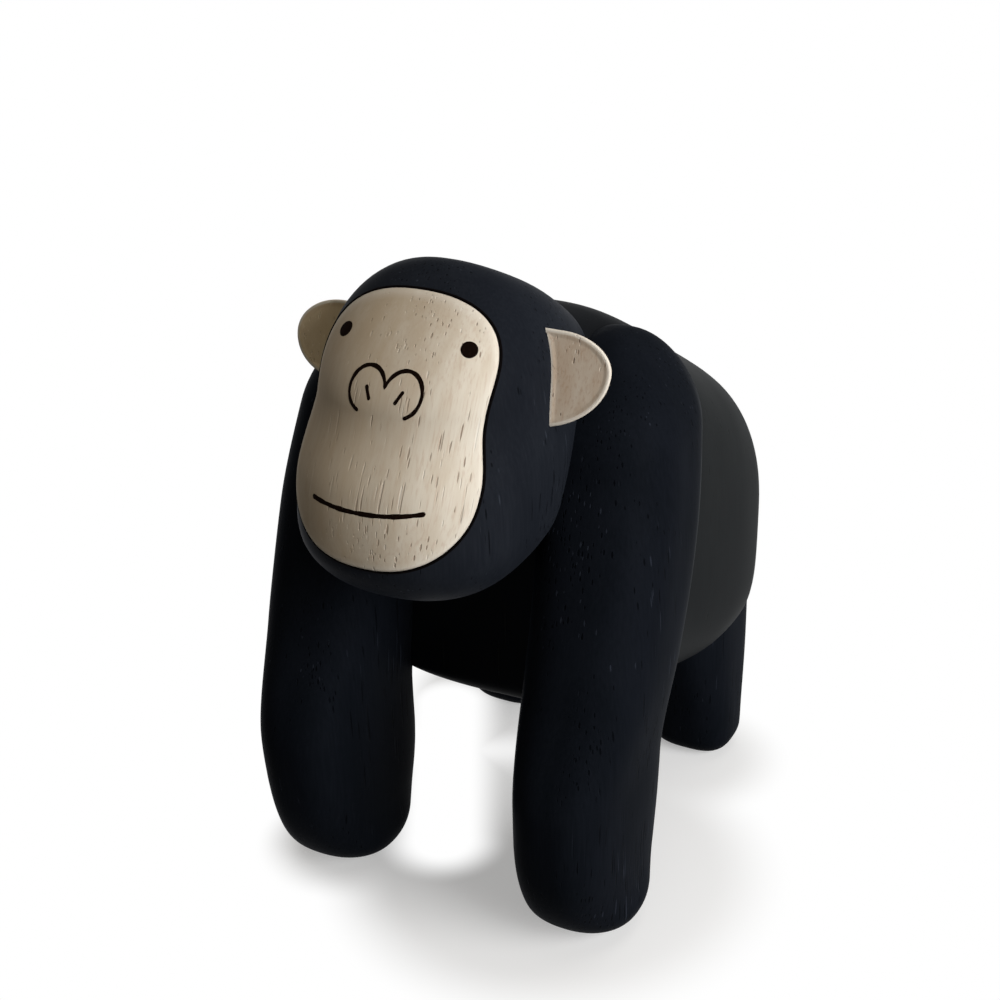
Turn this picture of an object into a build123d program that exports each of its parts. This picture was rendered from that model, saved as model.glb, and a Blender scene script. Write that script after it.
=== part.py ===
"""A small carved wooden ape that stands on its knuckles: millimetres, +Z up, facing -Y, +X its own left.

The origin lies on the ground under the middle of the figure. Each wooden piece is a rounded form whose
cross-section is a soft-cornered box that changes along the piece. The arms, the legs and the head are shaped
first, and the trunk is then cut to them, so that every glue face fits. Dowels cross each glue face.
"""

from build123d import *
import math
import os

# Whole figure
total_height = 75.0
ground_level = 0.0

# Rounded forms: how many outline points a section has, and how many steps round an end
outline_points = 24
end_steps = 5
mid_steps = 2

# Arms: slabs from shoulder to foot
arm_height = 65.0
arm_width = 15.4
arm_depth = 20.8
arm_spread = 15.8
arm_reach = 16.9
arm_foot_side_round = 4.5
arm_foot_front_round = 13.0
arm_foot_cut = 0.25
arm_foot_height = 14.0
arm_foot_softness = 2.1
arm_shoulder_round = 10.4
arm_softness = 2.8
arm_level_shares = (0.0, 0.12, 0.30, 0.485, 0.68, 0.85, 1.0)
arm_width_shares = (0.888, 0.79, 0.79, 0.908, 0.97, 1.0, 0.92)
arm_depth_shares = (1.012, 1.031, 1.07, 0.97, 0.95, 0.93, 0.86)
arm_spread_shares = (0.978, 0.976, 0.989, 1.0, 0.98, 0.895, 0.785)
arm_reach_shares = (0.916, 0.964, 0.994, 0.788, 0.545, 0.335, 0.185)
# The flat inner side of each arm, which is also its glue face on the trunk
arm_glue_offset = 9.0

# Rear legs: short columns let up into the trunk
leg_height = 25.0
leg_width = 12.0
leg_depth = 15.6
leg_spread = 13.0
leg_setback = 23.0
leg_foot_round = 4.2
leg_softness = 2.9
leg_level_shares = (0.0, 0.28, 0.52, 0.76, 1.0)
leg_width_shares = (0.86, 0.91, 0.95, 0.98, 1.0)
leg_depth_shares = (0.55, 0.72, 0.90, 1.0, 1.0)
leg_spread_shares = (1.0, 0.99, 0.965, 0.94, 0.93)
leg_setback_shares = (0.97, 0.957, 0.96, 0.965, 0.96)

# Trunk: chest, back and rump, a form that runs front to back
trunk_front = 10.0
trunk_rear = 35.2
trunk_top = 66.8
trunk_low = 20.7
trunk_width = 41.8
trunk_front_round = 3.0
trunk_rear_round = 15.0
trunk_softness = 2.7
trunk_low_softness = 4.2
trunk_place_shares = (0.0, 0.223, 0.541, 0.812, 1.0)
trunk_top_shares = (0.996, 0.981, 0.867, 0.751, 0.65)
trunk_low_shares = (1.0, 0.948, 0.787, 0.753, 0.827)
trunk_width_shares = (0.85, 0.96, 1.0, 0.93, 0.75)

# Head: an upright egg-like block that leans forward at the chin
head_bottom = 43.2
head_width = 26.8
head_depth = 31.0
head_reach = 22.6
head_chin_round = 8.2
head_crown_round = 13.0
head_softness = 2.3
head_level_shares = (0.0, 0.195, 0.42, 0.645, 0.84, 1.0)
head_width_shares = (0.865, 0.94, 0.985, 0.935, 0.975, 1.0)
head_depth_shares = (0.72, 0.91, 1.0, 0.965, 0.74, 0.44)
head_reach_shares = (1.0, 0.92, 0.80, 0.655, 0.70, 0.75)

# Small flats sanded where a rounded form ends
foot_flat_cut = 0.08
crown_flat_cut = 0.12
rear_flat_cut = 0.12
chin_flat_cut = 0.25

# Face panel: a gourd-shaped board with a flat back, let into a flat seat
face_proud = 0.45
face_seat_depth = 1.8
face_arc_steps = 6
face_side_steps = 3
face_plane_share = 0.735
face_top = 73.55
face_bottom = 49.7
face_brow_half = 9.6
face_brow_level = 66.8
face_waist_half = 9.17
face_waist_level = 62.8
face_cheek_half = 10.1
face_cheek_level = 57.3
face_cheek_shift = 0.25

# Marks on the face, let into it as thin strokes
mark_depth = 0.35
mark_proud = 0.05
eye_width = 1.7
eye_half_gap = 6.8
eye_level = 69.5
stroke_width = 0.45
nose_lobe_radius = 1.98
nose_lobe_half_gap = 1.93
nose_level = 65.7
nose_lobe_end_degrees = 75
nostril_width = 0.4
nostril_top_gap = 2.05
nostril_top_level = 66.1
nostril_low_gap = 1.35
nostril_low_level = 64.9
mouth_left_half = 6.35
mouth_left_level = 55.97
mouth_right_half = 6.0
mouth_right_level = 55.55
mouth_low_level = 55.33

# Ears: flat D-shaped plates let into slots in the head
ear_thickness = 2.6
ear_left_top = 69.5
ear_left_bottom = 60.2
ear_left_outer_half = 18.2
ear_left_high_round_half = 12.7
ear_left_low_round_half = 9.6
ear_left_centre_share = 0.366
ear_right_top = 68.9
ear_right_bottom = 61.3
ear_right_outer_half = 17.3
ear_right_round_half = 12.2
ear_right_centre_share = 0.46
ear_top_root_half = 8.6
ear_low_root_half = 9.0
ear_front_setback = 16.2
ear_lean_degrees = 18.8
ear_edge_round = 0.2
ear_slant_width = 1.1
ear_slant_depth = 2.1

# Dowels and their holes: a glued fit, line to line
dowel_chamfer = 0.4
neck_dowel_radius = 3.0
neck_dowel_length = 16.0
neck_dowel_level = 56.0
neck_dowel_setback = 3.0
arm_dowel_radius = 2.0
arm_dowel_length = 11.0
arm_dowel_low_level = 38.0
arm_dowel_low_setback = 5.5
arm_dowel_high_level = 53.0
arm_dowel_high_setback = 2.5
leg_dowel_radius = 2.0
leg_dowel_length = 16.0
leg_dowel_spread_share = 0.96
leg_dowel_setback_share = 0.9

# A cutting block that is larger than the figure
block = 2 * total_height


def glide(places, values, at):
    """The value at a place on a smooth line through the stations that never overshoots them."""
    steps = [b - a for a, b in zip(places, places[1:])]
    slopes = [(b - a) / step for a, b, step in zip(values, values[1:], steps)]
    turns = [slopes[0]]
    for i in range(1, len(slopes)):
        before, after = slopes[i - 1], slopes[i]
        near, far = 2 * steps[i] + steps[i - 1], steps[i] + 2 * steps[i - 1]
        turns.append((near + far) / (near / before + far / after) if before * after > 0 else 0)
    turns.append(slopes[-1])
    i = max(k for k in range(len(steps)) if k == 0 or places[k] <= at)
    s = (at - places[i]) / steps[i]
    return (
        (2 * s**3 - 3 * s**2 + 1) * values[i]
        + (s**3 - 2 * s**2 + s) * steps[i] * turns[i]
        + (3 * s**2 - 2 * s**3) * values[i + 1]
        + (s**3 - s**2) * steps[i] * turns[i + 1]
    )


def rounded_inset(distance, radius):
    """How far a rounded end pulls the section in, at a distance from the pole of the round."""
    if distance >= radius:
        return 0
    return radius - math.sqrt(radius**2 - (radius - distance) ** 2)


def closing_share(distance, radius):
    """The share of full size left at a distance from the pole of a dome that closes to a point."""
    if distance >= radius:
        return 1
    return math.sqrt(1 - (1 - distance / radius) ** 2)


def soft_box(half_x, half_y, softness, low_softness=None):
    """Outline points of a box with soft corners: 2 is an ellipse, and more is squarer."""
    points = []
    for i in range(outline_points):
        angle = 2 * math.pi * i / outline_points
        cos, sin = math.cos(angle), math.sin(angle)
        power = low_softness if low_softness and sin < 0 else softness
        reach = (abs(cos) ** power + abs(sin) ** power) ** (-1 / power)
        points.append((half_x * reach * cos, half_y * reach * sin))
    return points


def stations(start, start_cut, start_round, knots, end, end_cut, end_round):
    """Places of the sections: close together round both ends, and at and between the knots."""
    ends = []
    for edge, cut, radius, inward in ((start, start_cut, start_round, 1), (end, end_cut, end_round, -1)):
        first = math.acos(1 - cut / radius) if radius else math.pi / 2
        for i in range(end_steps + 1 if radius else 1):
            angle = first + (math.pi / 2 - first) * i / end_steps
            ends.append(edge + inward * (radius * (1 - math.cos(angle)) - cut))
    low = start - start_cut + start_round
    high = end + end_cut - end_round
    inner = [a + (b - a) * i / mid_steps for a, b in zip(knots, knots[1:]) for i in range(mid_steps)]
    clear = (high - low) / (len(inner) * 2)
    return sorted(ends + [place for place in inner if low + clear < place < high - clear])


def arm_sections():
    """Planes and outlines of the left arm, from the sole up to the shoulder."""
    sections = []
    levels = [share * arm_height for share in arm_level_shares]
    places = stations(
        ground_level,
        arm_foot_cut,
        arm_foot_side_round,
        levels,
        arm_height,
        crown_flat_cut,
        arm_shoulder_round,
    )
    for level in places:
        closing = closing_share(arm_height + crown_flat_cut - level, arm_shoulder_round)
        closing_x = closing * closing_share(level + arm_foot_cut, arm_foot_side_round)
        closing_y = closing * closing_share(level + arm_foot_cut, arm_foot_front_round)
        half_x = arm_width / 2 * glide(levels, arm_width_shares, level) * closing_x
        half_y = arm_depth / 2 * glide(levels, arm_depth_shares, level) * closing_y
        centre_x = arm_spread * glide(levels, arm_spread_shares, level)
        centre_y = -arm_reach * glide(levels, arm_reach_shares, level)
        squared = min(level / arm_foot_height, 1)
        softness = arm_foot_softness + (arm_softness - arm_foot_softness) * squared
        outline = soft_box(half_x, half_y, softness)
        moved = [(centre_x + x, centre_y + y) for x, y in outline]
        sections.append((Plane.XY.offset(level), moved))
    return sections


def leg_sections():
    """Planes and outlines of the left rear leg, up to its flat top inside the trunk."""
    sections = []
    levels = [share * leg_height for share in leg_level_shares]
    places = stations(ground_level, foot_flat_cut, leg_foot_round, levels, leg_height, 0, 0)
    for level in places:
        inset = rounded_inset(level + foot_flat_cut, leg_foot_round)
        half_x = leg_width / 2 * glide(levels, leg_width_shares, level) - inset
        half_y = leg_depth / 2 * glide(levels, leg_depth_shares, level) - inset
        centre_x = leg_spread * glide(levels, leg_spread_shares, level)
        centre_y = leg_setback * glide(levels, leg_setback_shares, level)
        outline = soft_box(half_x, half_y, leg_softness)
        moved = [(centre_x + x, centre_y + y) for x, y in outline]
        sections.append((Plane.XY.offset(level), moved))
    return sections


def trunk_sections():
    """Planes and outlines of the whole trunk, from the chest back to the rump."""
    sections = []
    length = trunk_front + trunk_rear
    knots = [share * length - trunk_front for share in trunk_place_shares]
    places = stations(
        -trunk_front, 0, trunk_front_round, knots, trunk_rear, rear_flat_cut, trunk_rear_round
    )
    for place in places:
        inset = rounded_inset(place + trunk_front, trunk_front_round)
        closing = closing_share(trunk_rear + rear_flat_cut - place, trunk_rear_round)
        top = trunk_top * glide(knots, trunk_top_shares, place)
        low = trunk_low * glide(knots, trunk_low_shares, place)
        half_x = trunk_width / 2 * glide(knots, trunk_width_shares, place) * closing - inset
        half_z = (top - low) / 2 * closing - inset
        middle = (top + low) / 2
        outline = soft_box(half_x, half_z, trunk_softness, trunk_low_softness)
        sections.append((Plane.XZ.offset(-place), [(x, middle + z) for x, z in outline]))
    return sections


head_levels = [head_bottom + share * (total_height - head_bottom) for share in head_level_shares]


def head_section(level, skin):
    """Centre and half sizes of the head at a level, on a form larger all round by skin."""
    inset = rounded_inset(level + chin_flat_cut - (head_bottom - skin), head_chin_round + skin)
    closing = closing_share(total_height + skin + crown_flat_cut - level, head_crown_round + skin)
    inside = min(max(level, head_bottom), total_height)
    half_x = (head_width / 2 * glide(head_levels, head_width_shares, inside) + skin) * closing - inset
    half_y = (head_depth / 2 * glide(head_levels, head_depth_shares, inside) + skin) * closing - inset
    return -head_reach * glide(head_levels, head_reach_shares, inside), half_x, half_y


def head_front(level):
    """Where the bare front of the head lies at a level, on the middle line."""
    centre_y, _, half_y = head_section(level, 0)
    return centre_y - half_y


def face_depth(place, level):
    """Where the front of the face lies at a level, at a place beside the middle line."""
    centre_y, half_x, half_y = head_section(level, face_proud)
    return centre_y - half_y * (1 - (place / half_x) ** head_softness) ** (1 / head_softness)


def head_sections(skin):
    """Planes and outlines of the head, or of a form that is larger all round by skin."""
    sections = []
    places = stations(
        head_bottom - skin,
        chin_flat_cut,
        head_chin_round + skin,
        head_levels,
        total_height + skin,
        crown_flat_cut,
        head_crown_round + skin,
    )
    for level in places:
        centre_y, half_x, half_y = head_section(level, skin)
        outline = soft_box(half_x, half_y, head_softness)
        sections.append((Plane.XY.offset(level), [(x, centre_y + y) for x, y in outline]))
    return sections


def face_arc(half, centre_level, rise, shift, turns):
    """Half width, level and sideways shift of points on a quarter of a soft-cornered oval."""
    points = []
    for turn in turns:
        angle = math.pi / 2 * turn
        cos, sin = math.cos(angle), math.sin(angle)
        reach = (cos**head_softness + sin**head_softness) ** (-1 / head_softness)
        points.append((half * reach * cos, centre_level + rise * reach * sin, shift))
    return points


def face_side(half, level, shift, next_half, next_level, next_shift):
    """Half width, level and sideways shift of points that glide from one width to the next."""
    points = []
    for i in range(face_side_steps):
        s = i / face_side_steps
        ease = s * s * (3 - 2 * s)
        width = half + (next_half - half) * ease
        points.append((width, level + (next_level - level) * s, shift + (next_shift - shift) * ease))
    return points


def face_outline():
    """The gourd outline of the face: round brow, slight waist, wide cheeks and a round chin."""
    down = [1 - i / face_arc_steps for i in range(face_arc_steps)]
    on_down = [i / face_arc_steps for i in range(face_arc_steps + 1)]
    brow = (face_brow_half, face_brow_level, 0)
    waist = (face_waist_half, face_waist_level, face_cheek_shift)
    cheek = (face_cheek_half, face_cheek_level, face_cheek_shift)
    edge = face_arc(face_brow_half, face_brow_level, face_top - face_brow_level, 0, down)
    edge += face_side(*brow, *waist)
    edge += face_side(*waist, *cheek)
    chin_drop = face_bottom - face_cheek_level
    edge += face_arc(face_cheek_half, face_cheek_level, chin_drop, face_cheek_shift, on_down)
    left = [(shift + half, level) for half, level, shift in edge]
    right = [(shift - half, level) for half, level, shift in reversed(edge[1:-1])]
    return left + right


# Marks and the face are drawn on an upright plane inside the head, and run forwards from it
face_plane = Plane.XZ.offset(head_reach * face_plane_share)

# The face panel lies on a flat seat that leans as the rim of the face does
seat_top = head_front(face_top) + face_seat_depth
seat_low = head_front(face_bottom) + face_seat_depth
seat_lean = math.atan2(seat_top - seat_low, face_top - face_bottom)
face_seat = Plane(
    origin=(0, seat_low, face_bottom),
    x_dir=(1, 0, 0),
    z_dir=(0, -math.cos(seat_lean), math.sin(seat_lean)),
)

# The ears lean forwards at their feet, with their straight roots inside the head
ear_lean = math.radians(ear_lean_degrees)

# Each eye is a round dot drawn square to the face where it sits
eye_turn = face_depth(eye_half_gap + eye_width / 2, eye_level)
eye_turn -= face_depth(eye_half_gap - eye_width / 2, eye_level)
eye_tilt = face_depth(eye_half_gap, eye_level + eye_width / 2)
eye_tilt -= face_depth(eye_half_gap, eye_level - eye_width / 2)
eye_plane = Plane(
    origin=(eye_half_gap, face_depth(eye_half_gap, eye_level), eye_level),
    z_dir=(eye_turn, -eye_width, eye_tilt),
)

# Centre lines of the strokes, seen from the front
nose_rise = math.degrees(math.acos(-nose_lobe_half_gap / nose_lobe_radius))
nose_sweep = nose_rise + nose_lobe_end_degrees
nose_lobe = CenterArc((nose_lobe_half_gap, nose_level), nose_lobe_radius, -nose_lobe_end_degrees, nose_sweep)
nostril = Line((nostril_top_gap, nostril_top_level), (nostril_low_gap, nostril_low_level))
mouth = ThreePointArc(
    (-mouth_right_half, mouth_right_level), (0, mouth_low_level), (mouth_left_half, mouth_left_level)
)

# Arms: round slabs with a flat inner side
with BuildPart() as arm_left:
    for plane, outline in arm_sections():
        with BuildSketch(plane):
            with BuildLine():
                Spline(*outline, periodic=True)
            make_face()
    loft()
    with BuildSketch(Plane.YZ.offset(arm_glue_offset)):
        Rectangle(block, block)
    extrude(amount=block, mode=Mode.INTERSECT)

# Rear legs
with BuildPart() as leg_left:
    for plane, outline in leg_sections():
        with BuildSketch(plane):
            with BuildLine():
                Spline(*outline, periodic=True)
            make_face()
    loft()

# Forms of the head: bare, and with the skins that the face and its marks are cut from
head_forms = []
for skin in (0, face_proud, face_proud + mark_proud, face_proud - mark_depth):
    with BuildPart() as head_form:
        for plane, outline in head_sections(skin):
            with BuildSketch(plane):
                with BuildLine():
                    Spline(*outline, periodic=True)
                make_face()
        loft()
    head_forms.append(head_form.part)
bare_head, face_skin, mark_skin, mark_floor = head_forms

# Face panel: domed in front, flat behind
with BuildPart() as face_panel:
    with BuildSketch(face_plane):
        with BuildLine():
            Spline(*face_outline(), periodic=True)
        make_face()
    extrude(amount=block)
    add(face_skin, mode=Mode.INTERSECT)
    split(bisect_by=face_seat, keep=Keep.TOP)
face_blank = face_panel.part

# Marks: strokes and dots let into the face
with BuildPart() as eye_left:
    with BuildSketch(eye_plane.offset(-eye_width)):
        Circle(eye_width / 2)
    extrude(amount=2 * eye_width)
    add(mark_skin, mode=Mode.INTERSECT)
    add(mark_floor, mode=Mode.SUBTRACT)

with BuildPart() as nose_line:
    with BuildSketch(face_plane):
        SlotArc(nose_lobe, stroke_width)
        mirror(about=Plane.YZ)
    extrude(amount=block)
    add(mark_skin, mode=Mode.INTERSECT)
    add(mark_floor, mode=Mode.SUBTRACT)

with BuildPart() as nostril_left:
    with BuildSketch(face_plane):
        SlotArc(nostril, nostril_width)
    extrude(amount=block)
    add(mark_skin, mode=Mode.INTERSECT)
    add(mark_floor, mode=Mode.SUBTRACT)

with BuildPart() as mouth_line:
    with BuildSketch(face_plane):
        SlotArc(mouth, stroke_width)
    extrude(amount=block)
    add(mark_skin, mode=Mode.INTERSECT)
    add(mark_floor, mode=Mode.SUBTRACT)

# Ears: D-shaped plates that narrow towards the back, straight at the root and round outside,
# the right one a little smaller
ear_blanks = []
for top, bottom, outer_half, high_round_half, low_round_half, centre_share in (
    (
        ear_left_top,
        ear_left_bottom,
        ear_left_outer_half,
        ear_left_high_round_half,
        ear_left_low_round_half,
        ear_left_centre_share,
    ),
    (
        ear_right_top,
        ear_right_bottom,
        ear_right_outer_half,
        ear_right_round_half,
        ear_right_round_half,
        ear_right_centre_share,
    ),
):
    drop = (top - bottom) / math.cos(ear_lean)
    centre_drop = drop * centre_share
    ear_plane = Plane(
        origin=(0, -ear_front_setback, top),
        x_dir=(1, 0, 0),
        z_dir=(0, -math.cos(ear_lean), math.sin(ear_lean)),
    )
    ear_way = Axis(ear_plane.origin, ear_plane.z_dir)
    with BuildPart() as ear_blank:
        with BuildSketch(ear_plane):
            with BuildLine():
                Polyline(
                    (high_round_half, 0),
                    (ear_top_root_half, 0),
                    (ear_low_root_half, -drop),
                    (low_round_half, -drop),
                )
                EllipticalCenterArc(
                    (low_round_half, -centre_drop),
                    outer_half - low_round_half,
                    drop - centre_drop,
                    start_angle=270,
                    arc_size=90,
                )
                EllipticalCenterArc(
                    (high_round_half, -centre_drop),
                    outer_half - high_round_half,
                    centre_drop,
                    start_angle=0,
                    arc_size=90,
                )
            make_face()
        extrude(amount=-ear_thickness)
        ear_back = ear_blank.faces().sort_by(ear_way)[0]
        back_rim = ear_back.edges().filter_by(GeomType.ELLIPSE)
        chamfer(back_rim, ear_slant_width, ear_slant_depth, reference=ear_back)
        ear_face = ear_blank.faces().sort_by(ear_way)[-1]
        fillet(ear_face.edges().filter_by(GeomType.ELLIPSE), ear_edge_round)
    ear_blanks.append(ear_blank.part)

with BuildPart() as ear_left:
    add(ear_blanks[0])

with BuildPart() as ear_right:
    mirror(ear_blanks[1], about=Plane.YZ)

# Pieces of the right side
with BuildPart() as leg_right:
    mirror(leg_left.part, about=Plane.YZ)

with BuildPart() as eye_right:
    mirror(eye_left.part, about=Plane.YZ)

with BuildPart() as nostril_right:
    mirror(nostril_left.part, about=Plane.YZ)

# Dowels, which fill their holes
with BuildPart() as neck_dowel:
    with BuildSketch(Plane.XZ.offset(neck_dowel_setback - neck_dowel_length / 2)):
        with Locations((0, neck_dowel_level)):
            Circle(neck_dowel_radius)
    extrude(amount=neck_dowel_length)
    chamfer(neck_dowel.edges(), dowel_chamfer)

with BuildPart() as arm_dowels:
    for side in (1, -1):
        with BuildSketch(Plane.YZ.offset(side * arm_glue_offset - arm_dowel_length / 2)):
            with Locations(
                (-arm_dowel_low_setback, arm_dowel_low_level),
                (-arm_dowel_high_setback, arm_dowel_high_level),
            ):
                Circle(arm_dowel_radius)
        extrude(amount=arm_dowel_length)
    chamfer(arm_dowels.edges().filter_by(GeomType.CIRCLE), dowel_chamfer)

with BuildPart() as leg_dowels:
    with BuildSketch(Plane.XY.offset(leg_height - leg_dowel_length / 2)):
        for side in (1, -1):
            leg_dowel_spread = side * leg_spread * leg_dowel_spread_share
            with Locations((leg_dowel_spread, leg_setback * leg_dowel_setback_share)):
                Circle(leg_dowel_radius)
    extrude(amount=leg_dowel_length)
    chamfer(leg_dowels.edges().filter_by(GeomType.CIRCLE), dowel_chamfer)

# Trunk: cut to everything that is let into it
with BuildPart() as trunk:
    for plane, outline in trunk_sections():
        with BuildSketch(plane):
            with BuildLine():
                Spline(*outline, periodic=True)
            make_face()
    loft()
    add(arm_left.part, mode=Mode.SUBTRACT)
    mirror(arm_left.part, about=Plane.YZ, mode=Mode.SUBTRACT)
    for piece in (leg_left, leg_right, neck_dowel, arm_dowels, leg_dowels):
        add(piece.part, mode=Mode.SUBTRACT)
    add(bare_head, mode=Mode.SUBTRACT)

# Head: cut to the face, the ears and the neck dowel
with BuildPart() as head:
    add(bare_head)
    add(face_blank, mode=Mode.SUBTRACT)
    for piece in (ear_left, ear_right, neck_dowel):
        add(piece.part, mode=Mode.SUBTRACT)

# The shoulders are hollowed for the head, and the arms and legs are bored for their dowels
with arm_left:
    add(bare_head, mode=Mode.SUBTRACT)
    add(arm_dowels.part, mode=Mode.SUBTRACT)

with BuildPart() as arm_right:
    mirror(arm_left.part, about=Plane.YZ)

with leg_left:
    add(leg_dowels.part, mode=Mode.SUBTRACT)

with leg_right:
    add(leg_dowels.part, mode=Mode.SUBTRACT)

with face_panel:
    for piece in (eye_left, eye_right, nose_line, nostril_left, nostril_right, mouth_line):
        add(piece.part, mode=Mode.SUBTRACT)

pieces = {
    "trunk": trunk,
    "head": head,
    "face_panel": face_panel,
    "ear_left": ear_left,
    "ear_right": ear_right,
    "arm_left": arm_left,
    "arm_right": arm_right,
    "leg_left": leg_left,
    "leg_right": leg_right,
    "eye_left": eye_left,
    "eye_right": eye_right,
    "nose_line": nose_line,
    "nostril_left": nostril_left,
    "nostril_right": nostril_right,
    "mouth_line": mouth_line,
    "neck_dowel": neck_dowel,
    "arm_dowels": arm_dowels,
    "leg_dowels": leg_dowels,
}

os.makedirs("parts", exist_ok=True)
for name, piece in pieces.items():
    piece.part.label = name
    export_step(piece.part, f"parts/{name}.step")
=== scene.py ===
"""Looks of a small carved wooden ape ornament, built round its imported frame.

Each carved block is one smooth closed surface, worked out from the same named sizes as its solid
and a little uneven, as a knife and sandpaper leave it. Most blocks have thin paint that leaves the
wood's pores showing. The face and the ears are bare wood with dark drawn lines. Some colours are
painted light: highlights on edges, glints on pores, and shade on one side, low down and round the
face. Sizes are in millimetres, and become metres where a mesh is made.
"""

from __future__ import annotations

import logging
import math
from dataclasses import dataclass, field
from enum import Enum

import bpy
import numpy as np
from mathutils import Matrix, Vector


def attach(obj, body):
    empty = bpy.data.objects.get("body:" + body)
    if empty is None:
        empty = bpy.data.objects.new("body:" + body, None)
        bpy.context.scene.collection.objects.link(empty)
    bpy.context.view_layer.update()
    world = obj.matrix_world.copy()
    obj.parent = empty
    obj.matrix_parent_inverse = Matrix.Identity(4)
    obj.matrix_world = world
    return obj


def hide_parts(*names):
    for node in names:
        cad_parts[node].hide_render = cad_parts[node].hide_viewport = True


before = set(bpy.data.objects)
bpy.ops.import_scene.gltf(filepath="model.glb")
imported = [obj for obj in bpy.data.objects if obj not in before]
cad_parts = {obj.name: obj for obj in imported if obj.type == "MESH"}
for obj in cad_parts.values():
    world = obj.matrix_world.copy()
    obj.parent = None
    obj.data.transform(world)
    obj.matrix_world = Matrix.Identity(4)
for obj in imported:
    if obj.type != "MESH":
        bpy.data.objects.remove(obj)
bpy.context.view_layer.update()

log = logging.getLogger("ape_ornament")

Colour = tuple[float, float, float, float]
Point = tuple[float, float, float]
Pair = tuple[float, float]
Line = tuple[float, ...]
Socket = bpy.types.NodeSocket

MM = 0.001
BODY = "root"
# The mesh attribute that says where a painted highlight on an edge shows.
HIGHLIGHT_ATTRIBUTE = "edge"

# How finely the surfaces are drawn
RING_POINTS = 216
ROUND_STEPS = 26
MIDDLE_STEPS = 96
POLE_CUT = 0.004
CAP_SHARES = (0.96, 0.8, 0.55, 0.25)
FIRST_SHARE = 0.02
TINY_STEP = 0.02
TINY_LENGTH = 1e-9

# The waves of a hand-carved surface
WAVES = 12
WAVE_LENGTHS = (9, 30)
GROUND_FADE = 4


class Side(Enum):
    """The figure's own left or right, as the sign of X."""

    LEFT = 1
    RIGHT = -1

    @property
    def word(self) -> str:
        """The ending of the names of the pieces on this side.

        Returns:
            The side's name in small letters.
        """
        return self.name.lower()


class Slot(Enum):
    """The record's material slots."""

    GREY_PAINT = "grey_paint"
    BLACK_PAINT = "black_paint"
    BARE_WOOD = "bare_wood"
    DARK_LINE = "dark_line"
    DOWEL_WOOD = "dowel_wood"


def glide(places: np.ndarray, values: Line, at: np.ndarray) -> np.ndarray:
    """A smooth line through stations that never overshoots them.

    Cubic pieces join at the stations. The slope at a station is the weighted harmonic mean of the
    slopes on its two sides, and zero where they differ in sign.

    Args:
        places: The places of the stations, rising.
        values: The value at each station.
        at: The places at which the line is wanted.

    Returns:
        The values at those places.
    """
    value = np.asarray(values, float)
    step = np.diff(places)
    slope = np.diff(value) / step
    before, after = slope[:-1], slope[1:]
    near, far = 2 * step[1:] + step[:-1], step[1:] + 2 * step[:-1]
    same = before * after > 0
    safe_before = np.where(same, before, 1)
    safe_after = np.where(same, after, 1)
    inner = np.where(same, (near + far) / (near / safe_before + far / safe_after), 0)
    turn = np.concatenate([slope[:1], inner, slope[-1:]])
    i = np.clip(np.searchsorted(places, at, side="right") - 1, 0, len(step) - 1)
    s = (at - places[i]) / step[i]
    return (
        (2 * s**3 - 3 * s**2 + 1) * value[i]
        + (s**3 - 2 * s**2 + s) * step[i] * turn[i]
        + (3 * s**2 - 2 * s**3) * value[i + 1]
        + (s**3 - s**2) * step[i] * turn[i + 1]
    )


def rounded_inset(distance: np.ndarray, radius: float) -> np.ndarray:
    """How far a rounded end pulls a section in: the radius less the height of its circle.

    Args:
        distance: The distance from the pole of the round.
        radius: The radius of the round.

    Returns:
        The inset at each distance.
    """
    near = np.clip(distance, 0, radius)
    return radius - np.sqrt(radius**2 - (radius - near) ** 2)


def closing_share(distance: np.ndarray, radius: float) -> np.ndarray:
    """The share of full size left near the pole of a dome: a quarter circle from nought to one.

    Args:
        distance: The distance from the pole.
        radius: The depth of the dome.

    Returns:
        The share at each distance.
    """
    near = np.clip(distance, 0, radius)
    return np.sqrt(1 - (1 - near / radius) ** 2)


def soft_ring(
    softness: float | np.ndarray, low_softness: float | None = None
) -> tuple[np.ndarray, np.ndarray]:
    """A closed ring whose two coordinates, raised to the softness, add up to one.

    Args:
        softness: 2 is an ellipse, and more is squarer. A column gives each ring its own.
        low_softness: The softness of the half where the second coordinate is negative.

    Returns:
        The two coordinates round the ring.
    """
    turn = 2 * np.pi * np.arange(RING_POINTS) / RING_POINTS
    cos, sin = np.cos(turn), np.sin(turn)
    power = np.where(sin < 0, low_softness or softness, softness)
    reach = (np.abs(cos) ** power + np.abs(sin) ** power) ** (-1 / power)
    return reach * cos, reach * sin


def end_packed(
    start: float, start_cut: float, start_round: float, end: float, end_cut: float, end_round: float
) -> np.ndarray:
    """Places from one end to the other, at equal angles in both rounds and evenly between them.

    Args:
        start: Where the form starts.
        start_cut: How far the pole of the first round lies before the start.
        start_round: The radius of the first round.
        end: Where the form ends.
        end_cut: How far the pole of the last round lies beyond the end.
        end_round: The radius of the last round, or nought for a plain end.

    Returns:
        The places, rising.
    """
    first = np.linspace(math.acos(1 - start_cut / start_round), math.pi / 2, ROUND_STEPS)
    low = start - start_cut + start_round * (1 - np.cos(first))
    high = np.array([end])
    if end_round:
        last = np.linspace(math.pi / 2, math.acos(1 - end_cut / end_round), ROUND_STEPS)
        high = end + end_cut - end_round * (1 - np.cos(last))
    middle = np.linspace(low[-1], high[0], MIDDLE_STEPS)[1:-1]
    return np.concatenate([low, middle, high])


def smooth_maximum(value: np.ndarray, floor: float, blend: float) -> np.ndarray:
    """The larger of a value and a floor, with a soft bend: their mean plus half a hyperbola.

    Args:
        value: The values.
        floor: The least value.
        blend: How wide the bend is.

    Returns:
        The values, none under the floor.
    """
    return (value + floor + np.sqrt((value - floor) ** 2 + blend**2)) / 2


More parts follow.
